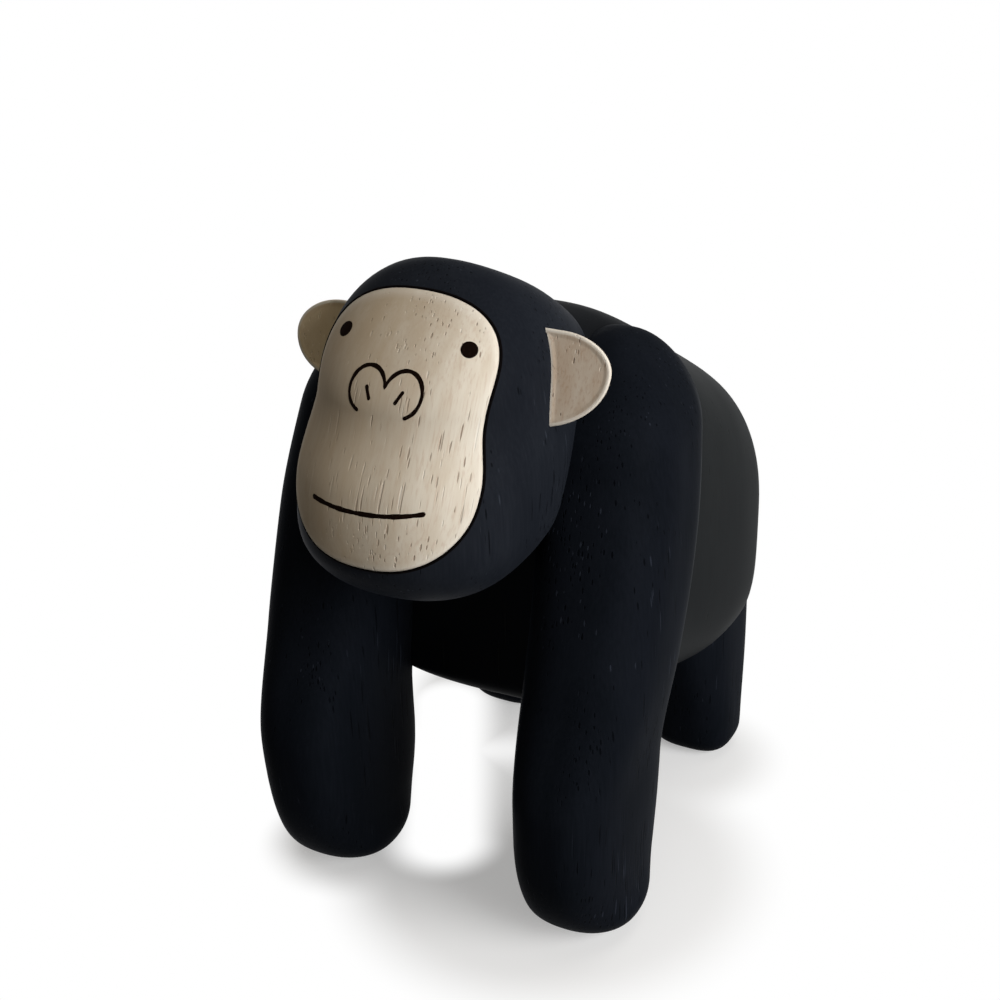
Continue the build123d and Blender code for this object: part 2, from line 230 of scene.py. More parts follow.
def outward(rows: np.ndarray) -> np.ndarray:
    """Unit directions square to a grid of closed rings: the cross product of its two slopes.

    Args:
        rows: Points, ring by ring.

    Returns:
        A direction for each point.
    """
    around = np.roll(rows, -1, axis=1) - np.roll(rows, 1, axis=1)
    along = np.gradient(rows, axis=0)
    across = np.cross(around, along)
    length = np.linalg.norm(across, axis=-1, keepdims=True)
    return across / np.maximum(length, TINY_LENGTH)


def hand_carved(rows: np.ndarray, amount: float, seed: int) -> np.ndarray:
    """Makes a surface a little uneven: slow waves through space move it along its normal.

    Each wave is the sine of a random direction's coordinate. The waves' sum is scaled so that its
    usual size is the amount, and fades out to the ground.

    Args:
        rows: Points, ring by ring.
        amount: The usual depth of the unevenness.
        seed: Picks the waves.

    Returns:
        The moved points.
    """
    draw = np.random.default_rng(seed)
    ways = draw.normal(size=(WAVES, 3))
    ways /= np.linalg.norm(ways, axis=1, keepdims=True)
    lengths = draw.uniform(*WAVE_LENGTHS, WAVES)
    phases = draw.uniform(0, 2 * np.pi, WAVES)
    turns = rows @ (ways * (2 * np.pi / lengths)[:, None]).T + phases
    swell = np.sin(turns).sum(axis=-1) / math.sqrt(WAVES / 2)
    grounded = np.clip(rows[..., 2] / GROUND_FADE, 0, 1)
    return rows + outward(rows) * (swell * grounded * amount)[..., None]


def capped(rows: np.ndarray, shares: Line = CAP_SHARES) -> np.ndarray:
    """Closes both ends of a stack of rings with smaller and smaller copies of the end rings.

    Args:
        rows: Points, ring by ring.
        shares: The sizes of the smaller rings, falling.

    Returns:
        The longer stack.
    """
    first, last = rows[:1], rows[-1:]
    start = [first.mean(axis=1, keepdims=True) * (1 - k) + first * k for k in reversed(shares)]
    end = [last.mean(axis=1, keepdims=True) * (1 - k) + last * k for k in shares]
    return np.concatenate([*start, rows, *end])


def between(start: np.ndarray, end: np.ndarray, shares: Line | np.ndarray) -> np.ndarray:
    """Rings part of the way from a ring or a point to another ring.

    Args:
        start: Where the way starts.
        end: Where it ends.
        shares: The share of the way for each ring.

    Returns:
        The rings.
    """
    return start + (end - start) * np.asarray(shares)[:, None, None]


def stacked(x: np.ndarray, y: np.ndarray, z: np.ndarray) -> np.ndarray:
    """Points from their coordinates, where a column stands for a whole ring.

    Args:
        x: The first coordinate of each point, or of each ring.
        y: The second one.
        z: The third one.

    Returns:
        The points.
    """
    return np.stack(np.broadcast_arrays(x, y, z), axis=-1)


def add_object(name: str, data: bpy.types.ID) -> bpy.types.Object:
    """Puts data into the scene as an object at the origin.

    Args:
        name: The object's name.
        data: Its mesh, camera or lamp.

    Returns:
        The object.
    """
    holder = bpy.data.objects.new(name, data)
    bpy.context.scene.collection.objects.link(holder)
    return holder


def mesh_piece(
    name: str, points: np.ndarray, quads: np.ndarray, fans: np.ndarray, edge: np.ndarray | None = None
) -> bpy.types.Object:
    """Makes a smooth closed mesh object.

    The faces are turned over where the volume that the quads enclose comes out negative, so they
    always point outwards.

    Args:
        name: The piece's name.
        points: Its points in millimetres.
        quads: The points of each four-sided face.
        fans: The points of each triangle.
        edge: How strongly a painted highlight on an edge shows at each point, nought to one, or None.

    Returns:
        The object, at the origin.
    """
    corners = points[quads]
    if np.einsum("ij,ij->", corners[:, 0], np.cross(corners[:, 1], corners[:, 2])) < 0:
        quads, fans = quads[:, ::-1], fans[:, ::-1]
    mesh = bpy.data.meshes.new(name)
    mesh.from_pydata(points * MM, [], quads.tolist() + fans.tolist())
    mesh.polygons.foreach_set("use_smooth", np.ones(len(mesh.polygons), bool))
    if edge is not None:
        paler = mesh.attributes.new(HIGHLIGHT_ATTRIBUTE, "FLOAT", "POINT")
        paler.data.foreach_set("value", edge.astype(np.float32))
    mesh.update()
    return add_object(name, mesh)


def closed_piece(name: str, rows: np.ndarray, edge: np.ndarray | None = None) -> bpy.types.Object:
    """Makes an object from a stack of closed rings, with a point at each end.

    The faces are the quads between neighbouring rings and a fan at each end.

    Args:
        name: The piece's name.
        rows: Points in millimetres, ring by ring.
        edge: How strongly a painted highlight on an edge shows at each point, nought to one, or None.

    Returns:
        The object, at the origin.
    """
    count, around = rows.shape[:2]
    row = np.arange(count - 1)[:, None] * around
    here = np.arange(around)[None]
    beside = (here + 1) % around
    quads = np.stack([row + here, row + beside, row + beside + around, row + here + around], axis=-1)
    low = np.full(around, count * around)
    last = (count - 1) * around
    first_fan = np.stack([beside[0], here[0], low], axis=-1)
    last_fan = np.stack([last + here[0], last + beside[0], low + 1], axis=-1)
    fans = np.concatenate([first_fan, last_fan])
    points = np.concatenate([rows.reshape(-1, 3), [rows[0].mean(axis=0), rows[-1].mean(axis=0)]])
    if edge is not None:
        edge = np.append(edge.ravel(), [edge[0].mean(), edge[-1].mean()])
    return mesh_piece(name, points, quads.reshape(-1, 4), fans, edge)


def ring_piece(name: str, tube: np.ndarray) -> bpy.types.Object:
    """Makes an object from a tube that closes on itself both ways.

    Args:
        name: The piece's name.
        tube: Points in millimetres, section by section.

    Returns:
        The object, at the origin.
    """
    count, around = tube.shape[:2]
    row = np.arange(count)[:, None] * around
    after = np.roll(row, -1, axis=0)
    here = np.arange(around)[None]
    beside = (here + 1) % around
    quads = np.stack([row + here, row + beside, after + beside, after + here], axis=-1)
    return mesh_piece(name, tube.reshape(-1, 3), quads.reshape(-1, 4), np.empty((0, 3), int))


def ring_ways(outline: np.ndarray) -> np.ndarray:
    """Unit directions out of a closed outline.

    Args:
        outline: Places and levels.

    Returns:
        The directions.
    """
    along = np.roll(outline, -1, axis=0) - np.roll(outline, 1, axis=0)
    out = np.stack([-along[:, 1], along[:, 0]], axis=-1)
    out /= np.linalg.norm(out, axis=-1, keepdims=True)
    middle = outline.mean(axis=0)
    return out if ((outline - middle) * out).sum() > 0 else -out


def place_piece(piece: bpy.types.Object, material: bpy.types.Material, node: str) -> None:
    """Dresses a piece, fixes it to the body and lets it stand for its node.

    Args:
        piece: The finished piece.
        material: Its finish.
        node: The node that it stands for, or an empty text for none.
    """
    piece.data.materials.append(material)
    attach(piece, BODY)
    if node:
        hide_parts(node)
    log.info("%s: %d faces", piece.name, len(piece.data.polygons))


class Recipe:
    """A material or a world under construction: adds nodes and joins them."""

    drift_cell: Point = (9, 9, 22)
    drift_span: Pair = (0.34, 0.68)
    drift_gain: float = 1.6
    pore_bend: Point = (0.9, 0.9, 0)
    pore_least: float = 0.6
    pore_edge: float = 0.55
    noise_roughness: float = 0.55

    def __init__(self, owner: bpy.types.Material | bpy.types.World, lean: float = 0.0) -> None:
        """Starts with no nodes.

        Args:
            owner: The material or the world.
            lean: How far the grain leans back from upright, in degrees.
        """
        self.owner = owner
        self.lean = lean
        owner.use_nodes = True
        self.nodes = owner.node_tree.nodes
        self.links = owner.node_tree.links
        self.nodes.clear()

    def add(self, kind: str, inputs: dict[int | str, object], **settings: object) -> bpy.types.Node:
        """Adds a node.

        Args:
            kind: The node's type, without the words that all types start with.
            inputs: A value or another node's output for each named or numbered input.
            **settings: The node's own settings.

        Returns:
            The node.
        """
        node = self.nodes.new(f"ShaderNode{kind}")
        for name, value in settings.items():
            setattr(node, name, value)
        for key, value in inputs.items():
            if isinstance(value, Socket):
                self.links.new(value, node.inputs[key])
            else:
                node.inputs[key].default_value = value
        return node

    def vector(self, kind: str, first: object, second: object) -> Socket:
        """Two vectors put together.

        Args:
            kind: The Vector Math node's operation.
            first: A vector or an output.
            second: A vector or an output, or the factor where the operation scales.

        Returns:
            The result, a number for a distance or a dot product.
        """
        node = self.add("VectorMath", {0: first, 3 if kind == "SCALE" else 1: second}, operation=kind)
        return node.outputs["Value" if kind in ("DISTANCE", "DOT_PRODUCT") else "Vector"]

    def place(self, cell: Point = (1, 1, 1)) -> Socket:
        """The place on the piece in millimetres, shrunk along each axis by a cell's size there.

        Args:
            cell: The size of a cell of the pattern along X, Y and Z.

        Returns:
            The vector.
        """
        where = self.add("TexCoord", {}).outputs["Object"]
        if self.lean:
            turn = {"Vector": where, "Angle": math.radians(self.lean)}
            where = self.add("VectorRotate", turn, rotation_type="X_AXIS").outputs["Vector"]
        scale = tuple(1 / (size * MM) for size in cell)
        return self.add("Mapping", {"Vector": where, "Scale": scale}).outputs["Vector"]

    def axes(self) -> bpy.types.bpy_prop_collection:
        """The place on the piece in millimetres.

        Returns:
            Three numbers, named X, Y and Z.
        """
        return self.add("SeparateXYZ", {0: self.place()}).outputs

    def paler(self) -> Socket:
        """How strongly a painted highlight on an edge shows at the place.

        Returns:
            Nought to one.
        """
        return self.add("Attribute", {}, attribute_name=HIGHLIGHT_ATTRIBUTE).outputs["Fac"]

    def seen(self) -> Socket:
        """Finds rays that show a surface to the camera, straight, reflected or through glass.

        Returns:
            One for such a ray, or nought.
        """
        path = self.add("LightPath", {}).outputs
        first = self.sum(path["Is Camera Ray"], path["Is Glossy Ray"], "MAXIMUM")
        return self.sum(first, path["Is Transmission Ray"], "MAXIMUM")

    def noise(self, cell: Point, detail: float = 3) -> Socket:
        """Soft noise, about nought to one.

        Args:
            cell: The size of its lumps along X, Y and Z.
            detail: How many finer layers it has.

        Returns:
            The noise.
        """
        inputs = {"Vector": self.place(cell), "Scale": 1.0, "Detail": detail}
        return self.add("TexNoise", {**inputs, "Roughness": self.noise_roughness}).outputs[0]

    def sum(self, first: object, second: object, kind: str = "ADD") -> Socket:
        """Two numbers put together.

        Args:
            first: A number or an output.
            second: A number or an output.
            kind: The Math node's operation.

        Returns:
            The result.
        """
        return self.add("Math", {0: first, 1: second}, operation=kind).outputs[0]

    def times(self, first: object, second: object) -> Socket:
        """The product of two numbers.

        Args:
            first: A number or an output.
            second: A number or an output.

        Returns:
            The product.
        """
        return self.sum(first, second, "MULTIPLY")

    def step(self, value: object, span: Pair) -> Socket:
        """A soft step from nought to one over a span of values, falling where the span falls.

        Args:
            value: An output.
            span: Where the step starts, and where it ends.

        Returns:
            The step.
        """
        inputs = {"Value": value, "From Min": span[0], "From Max": span[1]}
        return self.add("MapRange", inputs, interpolation_type="SMOOTHSTEP").outputs["Result"]

    def blend(self, share: object, first: object, second: object) -> Socket:
        """Two colours mixed.

        Args:
            share: How much of the second shows.
            first: A colour or an output.
            second: A colour or an output.

        Returns:
            The mixed colour.
        """
        return self.add("Mix", {0: share, 6: first, 7: second}, data_type="RGBA").outputs[2]

    def pores(self, cell: Point, size: float, share: float) -> tuple[Socket, ...]:
        """Short dashes along the grain, one in some cells of a stretched random cell pattern.

        A dash is where the distance to the cell's centre is under a size that differs from cell to
        cell, and it is left out of cells whose random number is over a share that drifts slowly.

        Args:
            cell: The size of a cell along X, Y and Z.
            size: The dash's size as a share of its cell.
            share: The share of cells that hold a dash.

        Returns:
            The dash, one in its middle, and the cell's own random number.
        """
        drift = self.noise(self.drift_cell, 1)
        moved = self.vector("ADD", self.place(cell), self.vector("SCALE", self.pore_bend, drift))
        cells = self.add("TexVoronoi", {"Vector": moved, "Scale": 1.0})
        parts = self.add("SeparateColor", {0: cells.outputs["Color"]})
        reach = self.sum(self.times(parts.outputs[1], size), size * self.pore_least)
        near = self.sum(cells.outputs["Distance"], reach, "DIVIDE")
        wanted = self.times(self.step(drift, self.drift_span), share * self.drift_gain)
        kept = self.sum(parts.outputs[0], wanted, "LESS_THAN")
        return self.times(self.step(near, (1.0, self.pore_edge)), kept), parts.outputs[2]

    def finish(self, look: PorousPaint | BareWood | DrawnLine, body: object, height: object) -> None:
        """Adds the shader, its bump and the output.

        Args:
            look: The finish, with its roughness, its gloss and the depth of its bump.
            body: The colour.
            height: The bump's height as an output, nought to one.
        """
        bump = self.add("Bump", {"Height": height, "Strength": 1.0, "Distance": look.depth * MM})
        inputs = {"Base Color": body, "Roughness": look.roughness, "Specular IOR Level": look.gloss}
        shader = self.add("BsdfPrincipled", {**inputs, "Normal": bump.outputs["Normal"]})
        self.add("OutputMaterial", {"Surface": shader.outputs["BSDF"]})


@dataclass(frozen=True)
class PorousPaint:
    """Thin matt paint over open-pored wood: pores show as dark dents, with pale flecks that are partly
    painted glints.

    A front colour takes over towards the chest, and lower down it is partly blended in as painted shade.
    """

    name: str
    colour: Colour
    deep: Colour
    fleck_and_glint: Colour
    # The paler colour is the painted highlight on edges that the edge attribute marks.
    paler: Colour
    gloss: float
    depth: float
    pore_share: float
    front: Colour | None = None
    roughness: float = 0.5
    front_span: Pair = (-4.0, -7.0)
    front_rise: float = 0.65
    front_level: float = 46.0
    painted_shade_span: Pair = (58.0, 22.0)
    painted_shade_share: float = 0.5
    long_cell: Point = (0.46, 0.46, 13)
    long_size: float = 0.21
    short_cell: Point = (0.4, 0.4, 7)
    pale_cell: Point = (0.44, 0.44, 11)
    pore_size: float = 0.2
    fewer: float = 0.8
    cloud_cell: Point = (7, 7, 16)
    fibre_cell: Point = (0.28, 0.28, 5.5)
    cloud_share: float = 0.6
    tone_span: Pair = (0.32, 0.68)
    pore_shade: float = 0.3
    pore_cover: float = 0.7
    fleck_span: Pair = (0.42, 0.6)
    fleck_cover: float = 0.45
    fibre_bump: float = 0.12
    pore_bump: float = -0.8
    pale_bump: float = -0.45

    def material(self) -> bpy.types.Material:
        """Builds the material.

        Returns:
            The material.
        """
        recipe = Recipe(bpy.data.materials.new(self.name))
        times = recipe.times
        long_pore, _ = recipe.pores(self.long_cell, self.long_size, self.pore_share)
        short_pore, _ = recipe.pores(self.short_cell, self.pore_size, self.pore_share * self.fewer)
        pale, _ = recipe.pores(self.pale_cell, self.pore_size, self.pore_share * self.fewer)
        pore = recipe.sum(long_pore, short_pore, "MAXIMUM")
        cloud = recipe.noise(self.cloud_cell)
        fibre = recipe.noise(self.fibre_cell)
        tone = recipe.sum(times(cloud, self.cloud_share), times(fibre, 1 - self.cloud_share))
        body = recipe.blend(recipe.step(tone, self.tone_span), self.deep, self.colour)
        if self.front:
            body = self.fronted(recipe, body)
        shade = tuple(self.pore_shade * part for part in self.deep)
        body = recipe.blend(times(pore, self.pore_cover), body, shade)
        # Pale flecks in patches: partly the paint's own pale flecks, partly painted glints where pore
        # edges catch the light.
        flecks_and_glints = times(pale, recipe.step(cloud, self.fleck_span))
        body = recipe.blend(times(flecks_and_glints, self.fleck_cover), body, self.fleck_and_glint)
        # Painted highlight: the paler colour on edges that the edge attribute marks.
        body = recipe.blend(recipe.paler(), body, self.paler)
        dents = recipe.sum(times(fibre, self.fibre_bump), times(pore, self.pore_bump))
        recipe.finish(self, body, recipe.sum(dents, times(pale, self.pale_bump)))
        return recipe.owner

    def fronted(self, recipe: Recipe, body: Socket) -> Socket:
        """Blends the front colour in, further back the higher up, and partly lower down as painted shade.

        Args:
            recipe: The material under construction.
            body: The colour so far.

        Returns:
            The blended colour.
        """
        where = recipe.axes()
        over = recipe.sum(recipe.sum(where["Z"], -self.front_level), 0.0, "MAXIMUM")
        ahead = recipe.sum(where["Y"], recipe.times(over, self.front_rise), "SUBTRACT")
        body = recipe.blend(recipe.step(ahead, self.front_span), body, self.front)
        # Painted shade: the front colour partly blended in towards the ground.
        low = recipe.times(recipe.step(where["Z"], self.painted_shade_span), self.painted_shade_share)
        return recipe.blend(low, body, self.front)


@dataclass(frozen=True)
class BareWood:
    """Pale open-pored wood, sanded but not oiled, with painted shade on one side and a painted highlight
    on rounded edges.
    """

    name: str
    pale: Colour
    warm: Colour
    pore: Colour
    rosy: Colour
    # The edge colour is the pale tone of light dashes in the grain, and of the painted highlight on rims.
    edge: Colour
    # The brown colour is the painted shade tone of the side away from the window lamp.
    brown: Colour
    lean: float = 0.0
    roughness: float = 0.62
    gloss: float = 0.22
    depth: float = 0.07
    long_cell: Point = (0.42, 0.42, 12)
    short_cell: Point = (0.36, 0.36, 6)
    light_cell: Point = (0.4, 0.4, 8.5)
    pore_size: float = 0.2
    pore_shares: Point = (0.5, 0.4, 0.45)
    cloud_cell: Point = (4.5, 4.5, 14)
    fibre_cell: Point = (0.2, 0.2, 3.5)
    ring_cell: Point = (1.3, 1.3, 30)
    tone_span: Pair = (0.36, 0.66)
    grain_span: Pair = (0.38, 0.72)
    grain_cover: float = 0.3
    light_cover: float = 0.4
    rich_span: Pair = (-4.0, 6.0)
    rich_least: float = 0.3
    pore_least: float = 0.3
    pore_more: float = 0.4
    rosy_span: Pair = (0.5, 0.68)
    rosy_cover: float = 0.35
    shaded_side_span: Pair = (9.0, -4.0)
    shaded_side_cover: float = 0.5
    highlight_cover: float = 0.7
    fibre_bump: float = 0.2
    pore_bump: float = -0.8
    light_bump: float = -0.5

    def material(self) -> bpy.types.Material:
        """Builds the material, with more and darker pores towards the figure's left.

        Returns:
            The material.
        """
        recipe = Recipe(bpy.data.materials.new(self.name), self.lean)
        times = recipe.times
        long_pore, mark = recipe.pores(self.long_cell, self.pore_size, self.pore_shares[0])
        short_pore, _ = recipe.pores(self.short_cell, self.pore_size, self.pore_shares[1])
        light, _ = recipe.pores(self.light_cell, self.pore_size, self.pore_shares[2])
        cloud = recipe.noise(self.cloud_cell)
        fibre = recipe.noise(self.fibre_cell, 4)
        ring = recipe.noise(self.ring_cell, 2)
        tone = times(recipe.sum(cloud, ring), 0.5)
        body = recipe.blend(recipe.step(tone, self.tone_span), self.pale, self.warm)
        body = recipe.blend(times(recipe.step(fibre, self.grain_span), self.grain_cover), body, self.warm)
        body = recipe.blend(times(light, self.light_cover), body, self.edge)
        dark = recipe.sum(long_pore, short_pore, "MAXIMUM")
        aside = recipe.axes()["X"]
        rich = times(recipe.step(aside, self.rich_span), 1 - self.rich_least)
        rich = recipe.sum(rich, self.rich_least)
        strength = times(recipe.sum(times(mark, self.pore_more), self.pore_least), rich)
        rosy = times(recipe.step(fibre, self.rosy_span), rich)
        body = recipe.blend(times(rosy, self.rosy_cover), body, self.rosy)
        # Painted shade: the wood takes the brown colour towards the figure's right, away from the window
        # lamp.
        shaded_side = times(recipe.step(aside, self.shaded_side_span), self.shaded_side_cover)
        body = recipe.blend(shaded_side, body, self.brown)
        body = recipe.blend(times(dark, strength), body, self.pore)
        # Painted highlight: the edge colour on rims that the edge attribute marks.
        body = recipe.blend(times(recipe.paler(), self.highlight_cover), body, self.edge)
        dents = recipe.sum(times(fibre, self.fibre_bump), times(dark, self.pore_bump))
        recipe.finish(self, body, recipe.sum(dents, times(light, self.light_bump)))
        return recipe.owner


@dataclass(frozen=True)
class DrawnLine:
    """Dark brown line in the wood, a little uneven in tone."""

    name: str
    colour: Colour
    paler: Colour
    roughness: float = 0.7
    gloss: float = 0.01
    depth: float = 0.02
    fibre_cell: Point = (0.18, 0.18, 1.1)
    worn_span: Pair = (0.5, 0.8)

    def material(self) -> bpy.types.Material:
        """Builds the material.

        Returns:
            The material.
        """
        recipe = Recipe(bpy.data.materials.new(self.name))
        fibre = recipe.noise(self.fibre_cell)
        body = recipe.blend(recipe.step(fibre, self.worn_span), self.colour, self.paler)
        recipe.finish(self, body, fibre)
        return recipe.owner


def linear(red: float, green: float, blue: float) -> Colour:
    """The shader's colour for a colour as a screen shows it, each part 0 to 255.

    Args:
        red: The red part.
        green: The green part.
        blue: The blue part.

    Returns:
        The colour with its alpha.
    """
    parts = [part / 255 for part in (red, green, blue)]
    lit = [part / 12.92 if part <= 0.04045 else ((part + 0.055) / 1.055) ** 2.4 for part in parts]
    return (*lit, 1.0)


HEAD_PAINT = PorousPaint(
    name="blue_black_head_paint",
    colour=linear(33, 36, 42),
    deep=linear(25, 28, 34),
    fleck_and_glint=linear(64, 70, 80),
    paler=linear(60, 62, 64),
    gloss=0.008,
    depth=0.07,
    pore_share=0.6,
)
LIMB_PAINT = PorousPaint(
    name="blue_black_limb_paint",
    colour=linear(21, 24, 30),
    deep=linear(15, 18, 23),
    fleck_and_glint=linear(54, 59, 70),
    paler=linear(72, 75, 77),
    gloss=0.004,
    depth=0.07,
    pore_share=0.55,
)
GREY_PAINT = PorousPaint(
    name="charcoal_paint",
    colour=linear(36, 38, 39),
    deep=linear(31, 33, 34),
    fleck_and_glint=linear(50, 52, 54),
    paler=linear(60, 62, 62),
    gloss=0.01,
    depth=0.015,
    pore_share=0.14,
    # The front colour is also blended in lower down as painted shade.
    front=linear(13, 15, 18),
)
BARE_WOOD = BareWood(
    name="bare_pale_wood",
    pale=linear(226, 217, 201),
    warm=linear(210, 196, 176),
    pore=linear(128, 100, 78),
    rosy=linear(198, 172, 152),
    edge=linear(240, 235, 224),
    brown=linear(150, 124, 84),
    lean=26.0,
)
EAR_WOOD = BareWood(
    name="bare_ear_wood",
    pale=linear(216, 202, 184),
    warm=linear(204, 184, 162),
    pore=linear(126, 92, 66),
    rosy=linear(178, 140, 112),
    edge=linear(244, 238, 226),
    brown=linear(250, 222, 164),
)
DARK_LINE = DrawnLine(name="dark_drawn_line", colour=linear(17, 9, 6), paler=linear(34, 20, 14))
# Painted shade: a dark line where the face panel's edge meets the head.
SEAM_SHADE = DrawnLine(name="dark_seam_line", colour=linear(7, 5, 5), paler=linear(13, 10, 9))
DOWEL_WOOD = BareWood(
    name="dowel_beech",
    pale=linear(205, 178, 140),
    warm=linear(190, 160, 122),
    pore=linear(140, 105, 75),
    rosy=linear(184, 150, 112),
    edge=linear(214, 190, 155),
    brown=linear(190, 150, 104),
)


class Block:
    """A carved and painted block: closed rings from one end to the other, a little uneven."""

    unevenness: float
    seed: int

    def rows(self) -> np.ndarray:
        """The rings of the surface.

        Returns:
            Points, ring by ring.
        """
        raise NotImplementedError

    def wear(self, rows: np.ndarray) -> np.ndarray | None:
        """How strongly a painted highlight shows at each point. A block without one has none.

        Args:
            rows: The block's rings.

        Returns:
            The wear, nought to one, or None.
        """
        return None

    def build(self, node: str, slot: Slot, paint: bpy.types.Material, shift: int = 0) -> None:
        """Makes the block's piece.

        Args:
            node: The node that it stands for.
            slot: The record's slot of its paint; not used.
            paint: The paint.
            shift: Changes the waves of its unevenness.
        """
        rows = hand_carved(capped(self.rows()), self.unevenness, self.seed + shift)
        place_piece(closed_piece(f"carved_{node}", rows, self.wear(rows)), paint, node)


@dataclass
class Arm(Block):
    """A round slab from the sole to the shoulder, flat where it is glued to the trunk."""

    side: Side
    height: float = 65.0
    width: float = 15.4
    depth: float = 20.8
    spread: float = 15.8
    reach: float = 16.9
    foot_cut: float = 0.25
    foot_side_round: float = 4.5
    foot_front_round: float = 13.0
    foot_height: float = 14.0
    foot_softness: float = 2.1
    crown_cut: float = 0.12
    shoulder_round: float = 10.4
    softness: float = 2.8
    glue_offset: float = 9.0
    glue_blend: float = 0.5
    highlight_facing: float = 19.0
    highlight_spread: float = 4.5
    highlight_share: float = 0.8
    highlight_low: float = 14.0
    highlight_high: float = 62.0
    highlight_fade: float = 16.0
    levels: Line = (0, 0.12, 0.30, 0.485, 0.68, 0.85, 1)
    widths: Line = (0.888, 0.79, 0.79, 0.908, 0.97, 1, 0.92)
    depths: Line = (1.012, 1.031, 1.07, 0.97, 0.95, 0.93, 0.86)
    spreads: Line = (0.978, 0.976, 0.989, 1, 0.98, 0.895, 0.785)
    reaches: Line = (0.916, 0.964, 0.994, 0.788, 0.545, 0.335, 0.185)
    unevenness: float = 0.06
    seed: int = 5

    def rows(self) -> np.ndarray:
        """Level rings of a soft box whose middle and sizes glide from station to station.

        The foot closes in a small round at its sides and a large one in front and behind, and its
        corners are softer than the rest.

        Returns:
            Points, ring by ring.
        """
        knots = np.array(self.levels) * self.height
        pole = self.height + self.crown_cut
        level = end_packed(
            0, self.foot_cut, self.foot_side_round, pole - POLE_CUT, POLE_CUT, self.shoulder_round
        )
        inside = np.clip(level, 0, self.height)
        closing = closing_share(pole - level, self.shoulder_round)
        closing_x = closing * closing_share(level + self.foot_cut, self.foot_side_round)
        closing_y = closing * closing_share(level + self.foot_cut, self.foot_front_round)
        half_x = self.width / 2 * glide(knots, self.widths, inside) * closing_x
        half_y = self.depth / 2 * glide(knots, self.depths, inside) * closing_y
        centre_x = self.spread * glide(knots, self.spreads, inside)
        centre_y = -self.reach * glide(knots, self.reaches, inside)
        squared = np.clip(level / self.foot_height, 0, 1)[:, None]
        ring_x, ring_y = soft_ring(self.foot_softness + (self.softness - self.foot_softness) * squared)
        x = centre_x[:, None] + half_x[:, None] * ring_x
        x = smooth_maximum(x, self.glue_offset, self.glue_blend)
        y = centre_y[:, None] + half_y[:, None] * ring_y
        return stacked(x * self.side.value, y, level[:, None])

    def wear(self, rows: np.ndarray) -> np.ndarray:
        """Painted highlight: a bell curve over the way that the side faces, on the rear corner.

        Args:
            rows: The arm's rings.

        Returns:
            The painted highlight's share, nought to one.
        """
        # Painted highlight along the arm's rear corner, where it faces the window lamp.
        along = np.roll(rows, -1, axis=1) - np.roll(rows, 1, axis=1)
        middle = rows.mean(axis=1, keepdims=True)
        turn = np.sign(((rows - middle)[..., 0] * along[..., 1]).sum())
        out_x, out_y = along[..., 1] * turn, -along[..., 0] * turn
        facing = np.degrees(np.arctan2(out_y, out_x * self.side.value))
        level = rows[..., 2]
        low = np.clip((level - self.highlight_low) / self.highlight_fade, 0, 1)
        high = np.clip((self.highlight_high - level) / self.highlight_fade, 0, 1)
        turned = np.exp(-(((facing - self.highlight_facing) / self.highlight_spread) ** 2))
        return self.highlight_share * low * high * turned


@dataclass
class Leg(Block):
    """A short rear leg that goes up into the trunk."""

    side: Side
    height: float = 25.0
    width: float = 12.0
    depth: float = 15.6
    spread: float = 13.0
    setback: float = 23.0
    foot_cut: float = 0.08
    foot_round: float = 3.0
    softness: float = 2.9
    levels: Line = (0, 0.28, 0.52, 0.76, 1)
    widths: Line = (0.86, 0.91, 0.95, 0.98, 1)
    depths: Line = (0.55, 0.72, 0.90, 1, 1)
    spreads: Line = (1, 0.99, 0.965, 0.94, 0.93)
    setbacks: Line = (0.97, 0.957, 0.96, 0.965, 0.96)
    unevenness: float = 0.05
    seed: int = 12

    def rows(self) -> np.ndarray:
        """Level rings of a soft box whose middle and sizes glide from station to station.

        Returns:
            Points, ring by ring.
        """
        knots = np.array(self.levels) * self.height
        level = end_packed(0, self.foot_cut, self.foot_round, self.height, 0, 0)
        inset = rounded_inset(level + self.foot_cut, self.foot_round)
        half_x = self.width / 2 * glide(knots, self.widths, level) - inset
        half_y = self.depth / 2 * glide(knots, self.depths, level) - inset
        centre_x = self.spread * glide(knots, self.spreads, level)
        centre_y = self.setback * glide(knots, self.setbacks, level)
        ring_x, ring_y = soft_ring(self.softness)
        x = centre_x[:, None] + half_x[:, None] * ring_x
        y = centre_y[:, None] + half_y[:, None] * ring_y
        return stacked(x * self.side.value, y, level[:, None])


@dataclass
class Trunk(Block):
    """The body block, from the flat chest back to the round rump."""

    front: float = 10.0
    rear: float = 35.2
    top: float = 66.8
    low: float = 20.7
    width: float = 41.8
    front_round: float = 3.0
    rear_round: float = 15.0
    rear_cut: float = 0.12
    softness: float = 2.7
    low_softness: float = 4.2
    places: Line = (0, 0.223, 0.541, 0.812, 1)
    tops: Line = (0.996, 0.981, 0.867, 0.751, 0.65)
    lows: Line = (1, 0.948, 0.787, 0.753, 0.827)
    widths: Line = (0.85, 0.96, 1, 0.93, 0.75)
    unevenness: float = 0.07
    seed: int = 3

    def rows(self) -> np.ndarray:
        """Upright rings of a soft box, from chest to rump, with a squarer lower half.

        Returns:
            Points, ring by ring.
        """
        knots = np.array(self.places) * (self.front + self.rear) - self.front
        pole = self.rear + self.rear_cut
        place = end_packed(-self.front, 0, self.front_round, pole - POLE_CUT, POLE_CUT, self.rear_round)
        inside = np.clip(place, -self.front, self.rear)
        inset = rounded_inset(place + self.front, self.front_round)
        closing = closing_share(pole - place, self.rear_round)
        top = self.top * glide(knots, self.tops, inside)
        low = self.low * glide(knots, self.lows, inside)
        half_x = self.width / 2 * glide(knots, self.widths, inside) * closing - inset
        half_z = (top - low) / 2 * closing - inset
        ring_x, ring_z = soft_ring(self.softness, self.low_softness)
        x = half_x[:, None] * ring_x
        z = ((top + low) / 2)[:, None] + half_z[:, None] * ring_z
        return stacked(x, place[:, None], z)


